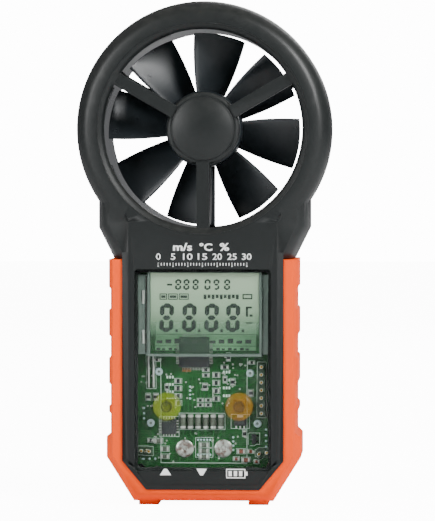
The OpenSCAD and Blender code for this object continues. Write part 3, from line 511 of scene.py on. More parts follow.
def copies_tree(name, arrange, inputs):
    """A Geometry Nodes tree that places copies of an object and paints them."""
    tree = bpy.data.node_groups.new(name, "GeometryNodeTree")
    tree.interface.new_socket("Geometry", in_out="INPUT", socket_type="NodeSocketGeometry")
    for label, kind in inputs + [("Copy", "Object"), ("Paint", "Material")]:
        tree.interface.new_socket(label, in_out="INPUT", socket_type="NodeSocket" + kind)
    tree.interface.new_socket("Geometry", in_out="OUTPUT", socket_type="NodeSocketGeometry")
    given = tree.nodes.new("NodeGroupInput").outputs
    result = tree.nodes.new("NodeGroupOutput").inputs
    pattern = put(tree, "GeometryNodeObjectInfo", {"Object": given["Copy"]})
    placed = put(tree, "GeometryNodeInstanceOnPoints", {"Instance": pattern.outputs["Geometry"]})
    arrange(tree, given, placed)
    real = put(tree, "GeometryNodeRealizeInstances", {"Geometry": placed.outputs[0]})
    painted = put(tree, "GeometryNodeSetMaterial", {"Geometry": real.outputs[0],
                                                    "Material": given["Paint"]})
    tree.links.new(painted.outputs[0], result[0])
    return tree


def arrange_in_row(tree, given, placed):
    line = put(tree, "GeometryNodeMeshLine", {"Count": given["Count"], "Offset": given["Step"],
                                              "Start Location": given["Start"]})
    tree.links.new(line.outputs[0], placed.inputs["Points"])
    tree.links.new(given["Turn"], placed.inputs["Rotation"])


def arrange_in_ring(tree, given, placed):
    line = put(tree, "GeometryNodeMeshLine", {"Count": given["Count"], "Start Location": given["Start"],
                                              "Offset": (0.0, 0.0, 0.0)})
    index = put(tree, "GeometryNodeInputIndex").outputs[0]
    share = maths(tree, "DIVIDE", index, given["Count"])
    angle = maths(tree, "MULTIPLY", share, -math.tau)
    turn = maths(tree, "SUBTRACT", angle, given["First Angle"])
    spin = put(tree, "ShaderNodeCombineXYZ", {"Y": turn}).outputs[0]
    tree.links.new(line.outputs[0], placed.inputs["Points"])
    tree.links.new(spin, placed.inputs["Rotation"])


def arrange_at_random(tree, given, placed):
    points = put(tree, "GeometryNodePoints", {"Count": given["Count"]})
    where = put(tree, "FunctionNodeRandomValue", {0: given["Low"], 1: given["High"],
                                                  "Seed": given["Seed"]}, data_type="FLOAT_VECTOR")
    tree.links.new(where.outputs[0], points.inputs["Position"])
    tree.links.new(points.outputs[0], placed.inputs["Points"])


ROW = copies_tree("row_of_copies", arrange_in_row, [("Count", "Int"), ("Start", "Vector"),
                                                    ("Step", "Vector"), ("Turn", "Vector")])
RING = copies_tree("ring_of_copies", arrange_in_ring, [("Count", "Int"), ("Start", "Vector"),
                                                       ("First Angle", "Float")])
SCATTER = copies_tree("scattered_copies", arrange_at_random, [
    ("Count", "Int"), ("Low", "Vector"), ("High", "Vector"), ("Seed", "Int")])


def repeated(into, draw, tree, look, **inputs):
    """Draws one copy in millimetres, repeats it with a tree and adds the result to a bmesh."""
    pattern_bm = bmesh.new()
    draw(pattern_bm)
    shape = bpy.data.meshes.new("pattern")
    pattern_bm.to_mesh(shape)
    pattern_bm.free()
    pattern = bpy.data.objects.new("pattern", shape)
    holder = bpy.data.objects.new("holder", bpy.data.meshes.new("holder"))
    for thing in (pattern, holder):
        bpy.context.scene.collection.objects.link(thing)
    spread = holder.modifiers.new("copies", "NODES")
    spread.node_group = tree
    names = {item.name: item.identifier for item in tree.interface.items_tree
             if item.item_type == "SOCKET" and item.in_out == "INPUT"}
    values = {"Copy": pattern, "Paint": look}
    values.update({key.replace("_", " "): value for key, value in inputs.items()})
    for key, value in values.items():
        spread[names[key]] = value
    made = settled(holder)
    into.from_mesh(made)
    spent = (made, holder.data, pattern.data)
    for thing in (holder, pattern):
        bpy.data.objects.remove(thing)
    for mesh in spent:
        bpy.data.meshes.remove(mesh)


# ---- the vane wheel and what is round it ----

BLADES = 8
FIRST_BLADE = math.radians(35.8)
HUB_R = 12.5
BLADE_FRONT = WHEEL_LOW[1] + 1.6
BLADE_DEPTH = 10.0
BLADE_T = 0.9
BLADE_ROOT = HUB_R - 0.8
BLADE_TIP = VANE_R - 0.05
BLADE_RINGS = 12


def blade(bm):
    """One pitched blade with rounded edges; it covers a smaller angle towards its tip."""
    radii = [BLADE_ROOT + (BLADE_TIP - BLADE_ROOT) * k / BLADE_RINGS for k in range(BLADE_RINGS + 1)]
    shares = [0, 0.015, 0.05, 0.12] + [0.2 + 0.1 * k for k in range(7)] + [0.88, 0.95, 0.985, 1]
    rings = []
    for r in radii:
        half = math.radians(24.3 - 0.29 * r)
        tilt = math.atan2(BLADE_DEPTH, 2 * r * math.sin(half))
        ring = []
        for side in (1, -1):
            for s in (shares if side == 1 else shares[-2:0:-1]):
                lead = side * BLADE_T / 2 * max(0.0, 1 - abs(2 * s - 1) ** 12) ** 0.5
                a = half * (1 - 2 * s) + lead * math.sin(tilt) / r
                ring.append(bm.verts.new((r * math.cos(a), BLADE_FRONT + BLADE_DEPTH * s
                                          + lead * math.cos(tilt), r * math.sin(a))))
        rings.append(ring)
    for a, b in zip(rings, rings[1:]):
        band(bm, a, b)
    bm.faces.new(rings[0])
    bm.faces.new(rings[-1][::-1])


def vane_wheel():
    """The wheel's hub with its blades."""
    bm = bmesh.new()
    front, rear = WHEEL_LOW[1], WHEEL_HIGH[1]
    turned(bm, [(0.8, front), (HUB_R - 4.5, front), (HUB_R - 4.2, front + 0.3),
                (HUB_R - 1.2, front + 0.3), (HUB_R - 0.4, front + 0.7), (HUB_R, front + 1.4),
                (HUB_R, rear - 0.3), (HUB_R - 0.3, rear), (0.8, rear), (0.8, front)], 0, AXIS_Z, 96)
    bmesh.ops.remove_doubles(bm, verts=bm.verts, dist=0.001)
    repeated(bm, blade, RING, LOOKS["vane_black"], Count=BLADES, Start=(0.0, 0.0, AXIS_Z),
             First_Angle=FIRST_BLADE)
    finished("vane_wheel", bm, "vane_black", body="vane", replaced=("impeller",), sharp=40)


def hub_dome():
    """The smooth dome over the front guard's hub, with a fine groove near its rim."""
    low, high = box_mm("hub_cap")
    r = (high[0] - low[0]) / 2
    rise = high[1] - low[1] - 0.3
    ball = (r * r + rise * rise) / (2 * rise)
    steps = 24
    reaches = [r * k / steps for k in range(steps)]
    arc = [(x, low[1] + ball - math.sqrt(ball * ball - x ** 2)) for x in reaches]
    bm = bmesh.new()
    turned(bm, arc + [(r - 0.06, low[1] + rise - 0.1), (r, low[1] + rise + 0.05), (r, high[1]), (0, high[1])],
           0, AXIS_Z, 96)
    finished("hub_dome", bm, "casing", replaced=("hub_cap",), sharp=50)


def sleeve_seal():
    """A thin seal that closes the fitting gap round the duct sleeve."""
    low, high = box_mm("duct_sleeve")
    r = (high[0] - low[0]) / 2
    bm = bmesh.new()
    hoop(bm, 0, AXIS_Z, r + 0.06, r - 0.02, -1.0, 1.0, 128)
    finished("sleeve_seal", bm, "black_foam")


# ---- the display ----

SEGMENTS = {"0": "abcdef", "8": "abcdefg", "9": "abcdfg"}


def digit(bm, figure, x, z, width, height, weight, y0, y1):
    """A seven-segment figure with its lower left corner at (x, z), leaning a little."""
    t = weight / 2
    gap = weight * 0.12
    half = height / 2
    flat = {"a": height - t, "g": half, "d": t}
    upright = {"f": (t, half), "b": (width - t, half), "e": (t, 0), "c": (width - t, 0)}
    lean = 0.04
    for name in SEGMENTS[figure]:
        if name in flat:
            c = flat[name]
            a, b = t + gap, width - t - gap
            corners = [(a, c), (a + t, c - t), (b - t, c - t), (b, c), (b - t, c + t), (a + t, c + t)]
        else:
            c, low = upright[name]
            a, b = low + t / 2 + gap, low + half - t / 2 - gap
            corners = [(c, a), (c + t, a + t), (c + t, b - t), (c, b), (c - t, b - t), (c - t, a + t)]
        slab(bm, [(x + px + lean * pz, z + pz) for px, pz in corners], y0, y1)


def display_panel():
    """The glasses, polariser and reflector as one panel that thins out towards its lower edge."""
    low, high = box_mm("lcd_front_glass")
    bm = bmesh.new()
    block(bm, (low[0], GLASS_LOW[1], low[2]), (high[0], box_mm("lcd_reflector")[1][1], high[2]), 0.08)
    finished("display_panel", bm, "display_glass", REFLECTOR,
             replaced=("lcd_polariser", "lcd_front_glass", "lcd_rear_glass", "lcd_reflector"))


def display_backing():
    """Pale ink on the board that shows through the clear part of the display."""
    bm = bmesh.new()
    block(bm, (GLASS_LOW[0] + 1.0, BOARD_Y - 0.03, GLASS_LOW[2] + 0.4),
          (GLASS_HIGH[0] - 1.0, BOARD_Y + 0.02, 60.0))
    finished("display_backing", bm, "board_green", BACKING)


def display_figures():
    """Every segment the display can show: rows of figures, marks and dividing lines."""
    y1 = GLASS_LOW[1] + 0.01
    y0 = y1 - 0.05
    left, right = GLASS_LOW[0] + 1.7, GLASS_HIGH[0] - 0.6
    top_row, tag_row, main_row, foot_row = 70.6, 67.4, 56.8, 50.9
    bm = bmesh.new()

    def mark(x0, x1, z0, z1):
        block(bm, (x0, y0, z0), (x1, y1, z1))
    mark(-11.8, -10.1, top_row + 1.4, top_row + 2.0)
    for x, figure in zip((-9.2, -6.5, -3.5, 0.4, 3.3, 6.8), "888098"):
        digit(bm, figure, x, top_row, 2.0, 3.5, 0.62, y0, y1)
    for x0, x1 in ((-14.2, -11.8), (-11.4, -8.3), (-7.9, -4.7)):
        outline(bm, x0, x1, tag_row, tag_row + 2.0, 0.25, y0, y1)
        mark(x0 + 0.5, x1 - 0.5, tag_row + 0.6, tag_row + 1.4)
    for k in range(9):
        mark(0.2 + 1.32 * k, 1.1 + 1.32 * k, tag_row + 0.2 + 0.35 * (k % 2), tag_row + 1.7)
    outline(bm, 12.9, 16.1, tag_row + 0.2, tag_row + 1.9, 0.4, y0, y1)
    for x in (-14.4, -7.0, 0.3, 7.3):
        digit(bm, "8", x, main_row, 4.6, 9.4, 1.5, y0, y1)
        mark(x + 5.3, x + 6.2, main_row, main_row + 0.9)
    for x0, x1, z0, z1 in ((14.0, 16.0, 64.6, 65.2), (14.0, 14.7, 61.9, 65.2),
                           (15.2, 16.2, 61.9, 62.6), (14.0, 16.2, 59.6, 60.1)):
        mark(x0, x1, z0, z1)
    for z in (main_row - 0.8, foot_row + 1.3, foot_row - 0.6):
        mark(left - 1.0, right, z, z + 0.16)
    for k in range(11):
        mark(left + 2.9 * k, left + 1.9 + 2.9 * k, foot_row + 2.2, foot_row + 3.2 + 0.3 * (k % 3))
    for k in range(8):
        mark(left + 3.9 * k, left + 1.2 + 3.9 * k, foot_row, foot_row + 0.8)
        mark(left + 1.8 + 3.9 * k, left + 2.8 + 3.9 * k, foot_row, foot_row + 0.6)
    finished("display_figures", bm, "display_frame", DIGIT_INK)


def display_sides():
    """The strips beside the glass, with two bright spring bars and, on the left, a dark line painted as the
    shade of a gap beside the frame.
    """
    low, high = box_mm("lcd_frame")
    y = low[1] + 0.9
    foot, top = GLASS_LOW[2] - 0.6, high[2] - 1.5
    bm = bmesh.new()
    block(bm, (LENS_LOW[0] + 1.0, y, foot), (low[0] - 0.05, y + 0.8, top), 0.1)
    block(bm, (high[0] + 0.05, y, foot), (LENS_HIGH[0] - 1.0, y + 0.8, top), 0.1)
    finished("display_side_strips", bm, "display_frame", GREY_STRIP)
    bm = bmesh.new()
    for z0, z1 in ((53.0, 57.5), (66.0, 70.5)):
        block(bm, (low[0] - 1.7, y - 0.3, z0), (low[0] - 0.9, y + 0.1, z1), 0.12)
    finished("display_spring_bars", bm, "tinned_metal")
    bm = bmesh.new()
    # A thin dark sheet on the left strip: painted shade of the gap beside the display frame
    block(bm, (low[0] - 0.62, y - 0.05, GLASS_LOW[2]), (low[0] - 0.3, y + 0.02, high[2] - 2))
    finished("display_dark_line", bm, "display_frame", GAP_SHADE_PAINT)


# ---- the circuit board ----

def flat_on_board(bm, x0, x1, z0, z1, rise):
    """A thin block that lies on the board."""
    block(bm, (x0, BOARD_Y - rise, z0), (x1, BOARD_Y + 0.04, z1))


def chip_leads():
    """Gull-wing leads in a row along each side of the large chip."""
    width, thickness, pitch, count = 0.22, 0.13, 0.5, 16
    shoulder = (CHIP_LOW[1] + CHIP_HIGH[1]) / 2 + 0.1
    drop = BOARD_Y - 0.1 - shoulder

    def lead(bm):
        path = [(-0.1, 0.0), (0.28, 0.0), (0.45, drop), (1.0, drop)]
        for (a, ya), (b, yb) in zip(path, path[1:]):
            corners = [(a - 0.02, ya), (b + 0.02, yb), (b + 0.02, yb + thickness), (a - 0.02, ya + thickness)]
            left, right = [[bm.verts.new((x, y, -out)) for out, y in corners]
                           for x in (-width / 2, width / 2)]
            bm.faces.new(left)
            bm.faces.new(right[::-1])
            for k in range(4):
                m = (k + 1) % 4
                bm.faces.new((left[k], right[k], right[m], left[m]))
    cx, cz = seen_centre(CHIP_LOW, CHIP_HIGH)
    reach = (count - 1) * pitch / 2
    half = (CHIP_HIGH[0] - CHIP_LOW[0]) / 2
    rows = [((cx - reach, shoulder, cz - half), (pitch, 0.0, 0.0), 0.0),
            ((cx - reach, shoulder, cz + half), (pitch, 0.0, 0.0), math.pi),
            ((cx - half, shoulder, cz - reach), (0.0, 0.0, pitch), math.pi / 2),
            ((cx + half, shoulder, cz - reach), (0.0, 0.0, pitch), -math.pi / 2)]
    bm = bmesh.new()
    for start, step, turn in rows:
        repeated(bm, lead, ROW, LOOKS["tinned_metal"], Count=count, Start=start, Step=step,
                 Turn=(0.0, turn, 0.0))
    finished("chip_leads", bm, "tinned_metal", replaced=("microcontroller_leads",))
    bm = bmesh.new()
    for k in range(6):
        x = cx - reach + pitch * k
        flat_on_board(bm, x - 0.17, x + 0.17, cz - half - 1.5, cz - half - 0.2, 0.1)
    finished("copper_pads", bm, "gold_pins", COPPER)


def plain_chip(node, ease):
    """A chip body as a block with eased edges."""
    bm = bmesh.new()
    block(bm, *box_mm(node), ease)
    finished(node + "_body", bm, "chip_black", replaced=(node,))


def chips():
    """The large chip with its corner mark, and the memory chip."""
    bm = bmesh.new()
    block(bm, CHIP_LOW, (CHIP_HIGH[0], CHIP_HIGH[1] - 0.1, CHIP_HIGH[2]), 0.12)
    block(bm, (CHIP_LOW[0] + 0.1, CHIP_LOW[1] + 0.6, CHIP_LOW[2] + 0.1),
          (CHIP_HIGH[0] - 0.1, CHIP_HIGH[1], CHIP_HIGH[2] - 0.1))
    finished("large_chip", bm, "chip_black", replaced=("microcontroller",))
    bm = bmesh.new()
    hoop(bm, CHIP_LOW[0] + 1.2, CHIP_HIGH[2] - 1.2, 0.42, 0.3, CHIP_LOW[1] - 0.02, CHIP_LOW[1] + 0.1)
    finished("chip_corner_mark", bm, "chip_black", GREY_STRIP)
    plain_chip("memory_chip", 0.1)


def small_leads():
    """Leads on four sides of the memory chip, and the regulator's three leads and wide tab."""
    bm = bmesh.new()
    low, high = box_mm("memory_chip")
    cx, cz = seen_centre(low, high)
    reach, half = 0.7, 0.2
    for along in (0.9 * (k - 2) for k in range(5)):
        for z in (low[2] - reach, high[2]):
            flat_on_board(bm, cx + along - half, cx + along + half, z, z + reach, 0.2)
        for x in (low[0] - reach, high[0]):
            flat_on_board(bm, x, x + reach, cz + along - half, cz + along + half, 0.2)
    low, high = box_mm("regulator")
    for k in range(3):
        x = low[0] + 0.7 + 1.3 * k
        flat_on_board(bm, x - 0.25, x + 0.25, low[2] - 0.9, low[2], 0.25)
    flat_on_board(bm, low[0] + 1.0, high[0] - 1.0, high[2], high[2] + 0.8, 0.25)
    finished("small_leads", bm, "tinned_metal")


def power_parts():
    """The regulator and the transistor."""
    plain_chip("regulator", 0.12)
    refined("transistor")


def end_capped(name, boxes, body_slot, body_look=None, replaced=()):
    """Small parts with a body and a bright cap at each end of their long side."""
    bodies, caps = bmesh.new(), bmesh.new()
    for low, high in boxes:
        axis = 0 if high[0] - low[0] > high[2] - low[2] else 2
        across = 2 - axis
        share = (high[axis] - low[axis]) * 0.24
        near_end, far_start = list(high), list(low)
        near_end[axis] = low[axis] + share
        far_start[axis] = high[axis] - share
        block(caps, low, near_end, 0.06)
        block(caps, far_start, high, 0.06)
        a, b = list(low), list(high)
        a[axis] += share * 0.7
        b[axis] -= share * 0.7
        a[1] += 0.05
        a[across] += 0.04
        b[across] -= 0.04
        block(bodies, a, b, 0.04)
    finished(name + "_bodies", bodies, body_slot, body_look, replaced=replaced)
    finished(name + "_ends", caps, "tinned_metal")


# Small parts that fill the board: centre x and z, then the width and height
EXTRA_PARTS = [(6.8, 45.1, 2.2, 1.0), (8.0, 48.4, 1.1, 2.4), (0.6, 42.4, 2.0, 0.9),
               (0.6, 44.2, 2.0, 0.9), (6.9, 41.0, 1.0, 2.0), (-17.4, 20.9, 2.2, 1.0),
               (13.3, 23.4, 1.0, 2.0), (-1.2, 34.2, 1.8, 0.8), (1.4, 34.2, 1.8, 0.8),
               (-1.2, 32.6, 1.8, 0.8), (1.4, 32.6, 1.8, 0.8), (-12.2, 38.4, 1.0, 1.8),
               (15.6, 46.6, 1.6, 0.8), (-15.4, 47.4, 1.6, 0.8)]
BROWN_PARTS = [(15.4, 17.4, 1.9, 1.1), (10.6, 14.9, 1.8, 1.0), (17.3, 14.0, 1.6, 0.9)]
BROWN_FROM_X = 8


def small_part(x, z, width, height):
    """The corners of an extra part that stands on the board."""
    return ((x - width / 2, BOARD_Y - 0.6, z - height / 2),
            (x + width / 2, BOARD_Y + 0.02, z + height / 2))


def tiny_parts():
    """Resistors, capacitors and the extra parts; capacitors beyond a line on the right are brown."""
    capacitors = islands("smd_capacitors")
    grey = [c for c in capacitors if c[0][0] < BROWN_FROM_X]
    brown = [c for c in capacitors if c[0][0] > BROWN_FROM_X]
    end_capped("resistor", islands("smd_resistors"), "chip_black", replaced=("smd_resistors",))
    end_capped("capacitor", grey, "capacitor_body", replaced=("smd_capacitors",))
    end_capped("brown_part", brown + [small_part(*p) for p in BROWN_PARTS], "capacitor_body", RUST_BODY)
    end_capped("extra_part", [small_part(*p) for p in EXTRA_PARTS], "chip_black")


def capsule_row():
    """The row of six small cylindrical parts lying up the board."""
    low, high = box_mm("diode_row")
    count, sides = 6, 20
    r = (high[1] - low[1]) / 2
    height = high[2] - low[2]
    cap_height = height * 0.2

    def upright(bm, profile):
        rings = [[bm.verts.new((x, y, z)) for x, y in around(r * share, sides)] for share, z in profile]
        for a, b in zip(rings, rings[1:]):
            band(bm, a, b)
        bm.faces.new(rings[0][::-1])
        bm.faces.new(rings[-1])

    def glass(bm):
        upright(bm, [(0.7, height * 0.16), (0.96, height * 0.22), (0.96, height * 0.78),
                     (0.7, height * 0.84)])

    def cap(bm):
        for z in (0, height - cap_height):
            upright(bm, [(0.8, z), (1, z + 0.12), (1, z + cap_height - 0.12), (0.8, z + cap_height)])
    row = {"Count": count, "Start": (low[0] + r, (low[1] + high[1]) / 2, low[2]),
           "Step": ((high[0] - low[0] - 2 * r) / (count - 1), 0.0, 0.0), "Turn": (0.0, 0.0, 0.0)}
    bm = bmesh.new()
    repeated(bm, glass, ROW, LOOKS["capacitor_body"], **row)
    finished("capsule_bodies", bm, "capacitor_body", replaced=("diode_row",))
    bm = bmesh.new()
    repeated(bm, cap, ROW, LOOKS["tinned_metal"], **row)
    finished("capsule_caps", bm, "tinned_metal")


def headers():
    """Header blocks with a bright ring round every pin."""
    for node in ("pin_header", "link_headers"):
        bodies = bmesh.new()
        for low, high in islands(node):
            block(bodies, low, high, 0.1)
        finished(node + "_body", bodies, "chip_black", HEADER_BODY, replaced=(node,))
    rings = bmesh.new()
    y = box_mm("pin_header")[0][1]
    for node in ("header_pins", "link_pins"):
        refined(node)
        for low, high in islands(node):
            hoop(rings, *seen_centre(low, high), 0.62, 0.34, y - 0.06, y + 0.1, 24)
    finished("header_rings", rings, "tinned_metal")


def round_fixings():
    """Snap rivets with grey discs painted as the shade in their centre hollows, and the battery's two wide
    stained rivets.
    """
    domes, hollow_shade_discs = bmesh.new(), bmesh.new()
    y = box_mm("board_rivets")[0][1]
    for x, z in standing_places("board_rivets"):
        turned(domes, [(0, y + 0.25), (0.45, y + 0.22), (0.6, y + 0.05), (0.95, y), (1.25, y + 0.3),
                       (1.3, BOARD_Y + 0.02), (0.8, BOARD_Y + 0.05), (0.8, BOARD_Y + 1.9),
                       (0, BOARD_Y + 1.9)], x, z, 36)
        # A grey disc in each rivet's centre hollow: painted shade of the hollow
        turned(hollow_shade_discs, [(0, y + 0.16), (0.46, y + 0.16), (0.46, y + 0.4), (0, y + 0.4)], x, z, 24)
    finished("snap_rivets", domes, "white_nylon", replaced=("board_rivets",))
    finished("rivet_centres", hollow_shade_discs, "white_nylon", GREY_STRIP)
    rivets = bmesh.new()
    low, high = box_mm("contact_rivets")
    r = (high[2] - low[2]) / 2
    y = low[1]
    for x in (low[0] + r, high[0] - r):
        turned(rivets, [(0, y + 0.35), (0.9, y + 0.35), (1.1, y + 0.12), (1.7, y), (2.6, y + 0.1),
                        (r, y + 0.35), (r, BOARD_Y + 0.02), (1.2, BOARD_Y + 0.05), (1.2, high[1]),
                        (0, high[1])], x, low[2] + r, 56)
    finished("battery_rivets", rivets, "tinned_metal", RIVET_STEEL, replaced=("contact_rivets",))


def board_legend():
    """Printed boxes and lines round the parts."""
    y0, y1 = BOARD_Y - 0.05, BOARD_Y + 0.02
    bm = bmesh.new()

    def frame_round(low, high, margin, width):
        outline(bm, low[0] - margin, high[0] + margin, low[2] - margin, high[2] + margin, width, y0, y1)
    left, right, foot, top = -14.3, 14.2, 13.4, 48.0
    block(bm, (left, y0, foot), (left + 0.2, y1, top))
    block(bm, (right - 0.2, y0, foot), (right, y1, top))
    block(bm, (left, y0, foot), (right, y1, foot + 0.2))
    for node, margin in (("pin_header", 0.35), ("diode_row", 0.45), ("memory_chip", 0.9),
                         ("regulator", 1.1), ("transistor", 0.5), ("wire_links", 0.5)):
        frame_round(*box_mm(node), margin, 0.17)
    for node in ("link_headers", "smd_resistors", "smd_capacitors"):
        for low, high in islands(node):
            frame_round(low, high, 0.3, 0.13)
    for extra in EXTRA_PARTS + BROWN_PARTS:
        frame_round(*small_part(*extra), 0.25, 0.13)
    outline(bm, -2.9, 3.0, 15.3, 22.0, 0.17, y0, y1)
    for x, z, rise in ((-12.4, 34.0, 2.42), (6.2, 35.2, 2.6)):
        for k in range(4):
            for j in range(3):
                block(bm, (x + 0.9 * j, y0, z + rise * k), (x + 0.6 + 0.9 * j, y1, z + 0.9 + rise * k))
    finished("board_legend", bm, "white_nylon", SILK)


HEADER_PITCH = 2.54


def board_tracks():
    """Tracks that fan out from the large chip and run down the board."""
    y0, y1 = BOARD_Y - 0.025, BOARD_Y + 0.02
    bm = bmesh.new()
    first_lead = seen_centre(CHIP_LOW, CHIP_HIGH)[0] - 3.75
    for k in range(16):
        x = first_lead + 0.5 * k
        out = (k - 7.5) * 0.85
        turn = abs(out) * 0.9
        top = CHIP_LOW[2] - 1.0
        knee = top - 0.6 - 0.18 * (8 - abs(k - 7.5))
        end = 31.0 - 0.7 * (k % 5)
        track(bm, [(x, top), (x, knee), (x + out, knee - turn), (x + out, end)], 0.18, y0, y1)
    for k in range(10):
        z = 24.0 - 0.75 * k
        track(bm, [(-21.0, z), (-17.5 + 0.3 * k, z), (-16.0 + 0.3 * k, z - 1.5), (-9.8, z - 1.5)],
              0.2, y0, y1)
        track(bm, [(21.0, z + 1), (18.5 - 0.3 * k, z + 1), (16.9 - 0.3 * k, z - 0.6), (9.8, z - 0.6)],
              0.2, y0, y1)
    for k in range(7):
        z = 30 + HEADER_PITCH * k
        track(bm, [(18.0, z), (16.6, z), (15.4, z - 1.2), (8.5, z - 1.2)], 0.22, y0, y1)
    for k in range(6):
        x = -6.9 + 2.5 * k
        track(bm, [(x, 24.6), (x, 22.8), (x * 0.8, 22.0), (x * 0.8, 14.2)], 0.22, y0, y1)
    finished("board_tracks", bm, "board_green", TRACK)


def board_pads():
    """Through holes, test pads and small solder dots."""
    def ring(bm):
        hoop(bm, 0, 0, 0.3, 0.13, -0.05, 0.02, 14)

    def dot(bm):
        turned(bm, [(0, -0.22), (0.25, -0.16), (0.42, 0.02), (0, 0.02)], 0, 0, 16)
    vias = bmesh.new()
    for low, high, count, seed in (((-20.5, 12.6), (20.5, 24.0), 34, 3), ((-13.5, 31.0), (13.5, 44.0), 40, 5),
                                   ((-21.0, 30.0), (-15.0, 48.0), 10, 8),
                                   ((6.0, 44.5), (16.0, 49.0), 12, 11)):
        repeated(vias, ring, SCATTER, LOOKS["tinned_metal"], Count=count, Seed=seed,
                 Low=(low[0], BOARD_Y, low[1]), High=(high[0], BOARD_Y, high[1]))
    finished("board_vias", vias, "tinned_metal")
    dots = bmesh.new()
    for start, step, count in (((-2.0, 21.1), (1.0, 0.0), 5), ((-2.0, 16.2), (1.0, 0.0), 5),
                               ((-4.6, 38.6), (0.0, -1.3), 4), ((9.6, 22.0), (0.0, -1.4), 4),
                               ((-19.8, 31.5), (0.0, -1.7), 3), ((20.4, 24.6), (0.0, -1.9), 4),
                               ((-19.9, 15.0), (1.9, 0.0), 3)):
        repeated(dots, dot, ROW, LOOKS["tinned_metal"], Count=count,
                 Start=(start[0], BOARD_Y, start[1]), Step=(step[0], 0.0, step[1]), Turn=(0.0, 0.0, 0.0))
    finished("solder_dots", dots, "white_nylon")


# ---- keys ----

KEYS = (("left_key", "left_button"), ("right_key", "right_button"))
KEY_CAP_R = 4.55


def key_caps():
    """A domed translucent cap on each key."""
    for body, node in KEYS:
        low, high = box_mm(node)
        r, y = KEY_CAP_R, low[1]
        bm = bmesh.new()
        turned(bm, [(0, y), (r * 0.45, y + 0.06), (r * 0.75, y + 0.2), (r * 0.9, y + 0.42),
                    (r * 0.98, y + 0.75), (r, y + 1.2), (r, high[1] - 0.2), (r - 0.3, high[1]),
                    (0, high[1])], *seen_centre(low, high), 64)
        finished(body + "_cap", bm, SLOT_OF[node], body=body, replaced=(node,), sharp=50)


def key_marks():
    """A power mark on the left key and a plain ring on the right one."""
    for body, node in KEYS:
        x, z = seen_centre(*box_mm(node))
        front = front_face_of(node)
        y = front(x + 1.5, z)
        bm = bmesh.new()
        if body == "left_key":
            hoop(bm, x, z, 1.75, 1.4, y - 0.05, y + 0.3, 40)
            y = front(x, z)
            block(bm, (x - 0.2, y - 0.03, z + 0.3), (x + 0.2, y + 0.3, z + 2.3))
        else:
            hoop(bm, x, z, 1.7, 1.45, y - 0.04, y + 0.3, 40)
        finished(body + "_mark", bm, SLOT_OF[node], KEY_MARK, body)


# ---- printed marks ----

SHELL_FRONT = front_face_of("front_shell")
SCALE_LEFT = -14.4
SCALE_STEP = 4.8
SCALE_NUMBERS = 7


def words(bm, text, low, high, weight):
    """Adds printed characters, stretched to a box on the front panel, as a thin mesh."""
    curve = bpy.data.curves.new("print", "FONT")
    curve.body = text
    curve.size = 1
    curve.offset = weight
    curve.resolution_u = 3
    curve.extrude = 0.5
    thing = bpy.data.objects.new("print", curve)
    bpy.context.scene.collection.objects.link(thing)
    shape = settled(thing)
    bpy.data.objects.remove(thing)
    xs = [v.co.x for v in shape.vertices]
    zs = [v.co.y for v in shape.vertices]
    y = SHELL_FRONT((low[0] + high[0]) / 2, (low[1] + high[1]) / 2)
    for v in shape.vertices:
        px = low[0] + (v.co.x - min(xs)) / (max(xs) - min(xs)) * (high[0] - low[0])
        pz = low[1] + (v.co.y - min(zs)) / (max(zs) - min(zs)) * (high[1] - low[1])
        v.co = (px, y - 0.02 - v.co.z * 0.04, pz)
    bm.from_mesh(shape)
    bpy.data.meshes.remove(shape)


def panel_print():
    """Units, a dial scale with its ticks, two pointers and a battery mark."""
    bm = bmesh.new()
    for text, x0, x1 in (("m/s", -9.6, -3.4), ("°C", -1.0, 3.2), ("%", 5.6, 8.7)):
        words(bm, text, (x0, 83.4), (x1, 86.0), 0.03)
    for k in range(SCALE_NUMBERS):
        text = str(5 * k)
        half = 0.75 if len(text) == 1 else 1.55
        centre = SCALE_LEFT + SCALE_STEP * k
        words(bm, text, (centre - half, 80.5), (centre + half, 82.6), 0.01)
    bmesh.ops.remove_doubles(bm, verts=bm.verts, dist=0.0002)
    y = SHELL_FRONT(0, 79)
    for half, low, high, per_step in ((0.12, 0.4, 1.3, 5), (0.18, 0.0, 1.4, 1)):
        def tick(into):
            block(into, (-half, y - 0.04, low), (half, y + 0.04, high))
        repeated(bm, tick, ROW, PRINT, Count=per_step * (SCALE_NUMBERS - 1) + 1,
                 Start=(SCALE_LEFT, 0.0, 78.2), Step=(SCALE_STEP / per_step, 0.0, 0.0), Turn=(0.0, 0.0, 0.0))
    y = SHELL_FRONT(0, 11)
    y0, y1 = y - 0.04, y + 0.04
    slab(bm, [(-14.0, 10.2), (-10.2, 10.2), (-11.6, 12.3), (-12.6, 12.3)], y0, y1)
    slab(bm, [(-2.0, 12.4), (1.4, 12.4), (0.15, 10.2), (-0.75, 10.2)], y0, y1)
    outline(bm, 7.7, 14.0, 9.3, 12.4, 0.35, y0, y1)
    block(bm, (14.0, y0, 10.2), (14.7, y1, 11.5))
    for k in range(3):
        block(bm, (8.5 + 1.7 * k, y0, 10.0), (9.6 + 1.7 * k, y1, 11.7))
    finished("panel_print", bm, "white_nylon", PRINT, sharp=20)


# ---- screws, battery ----

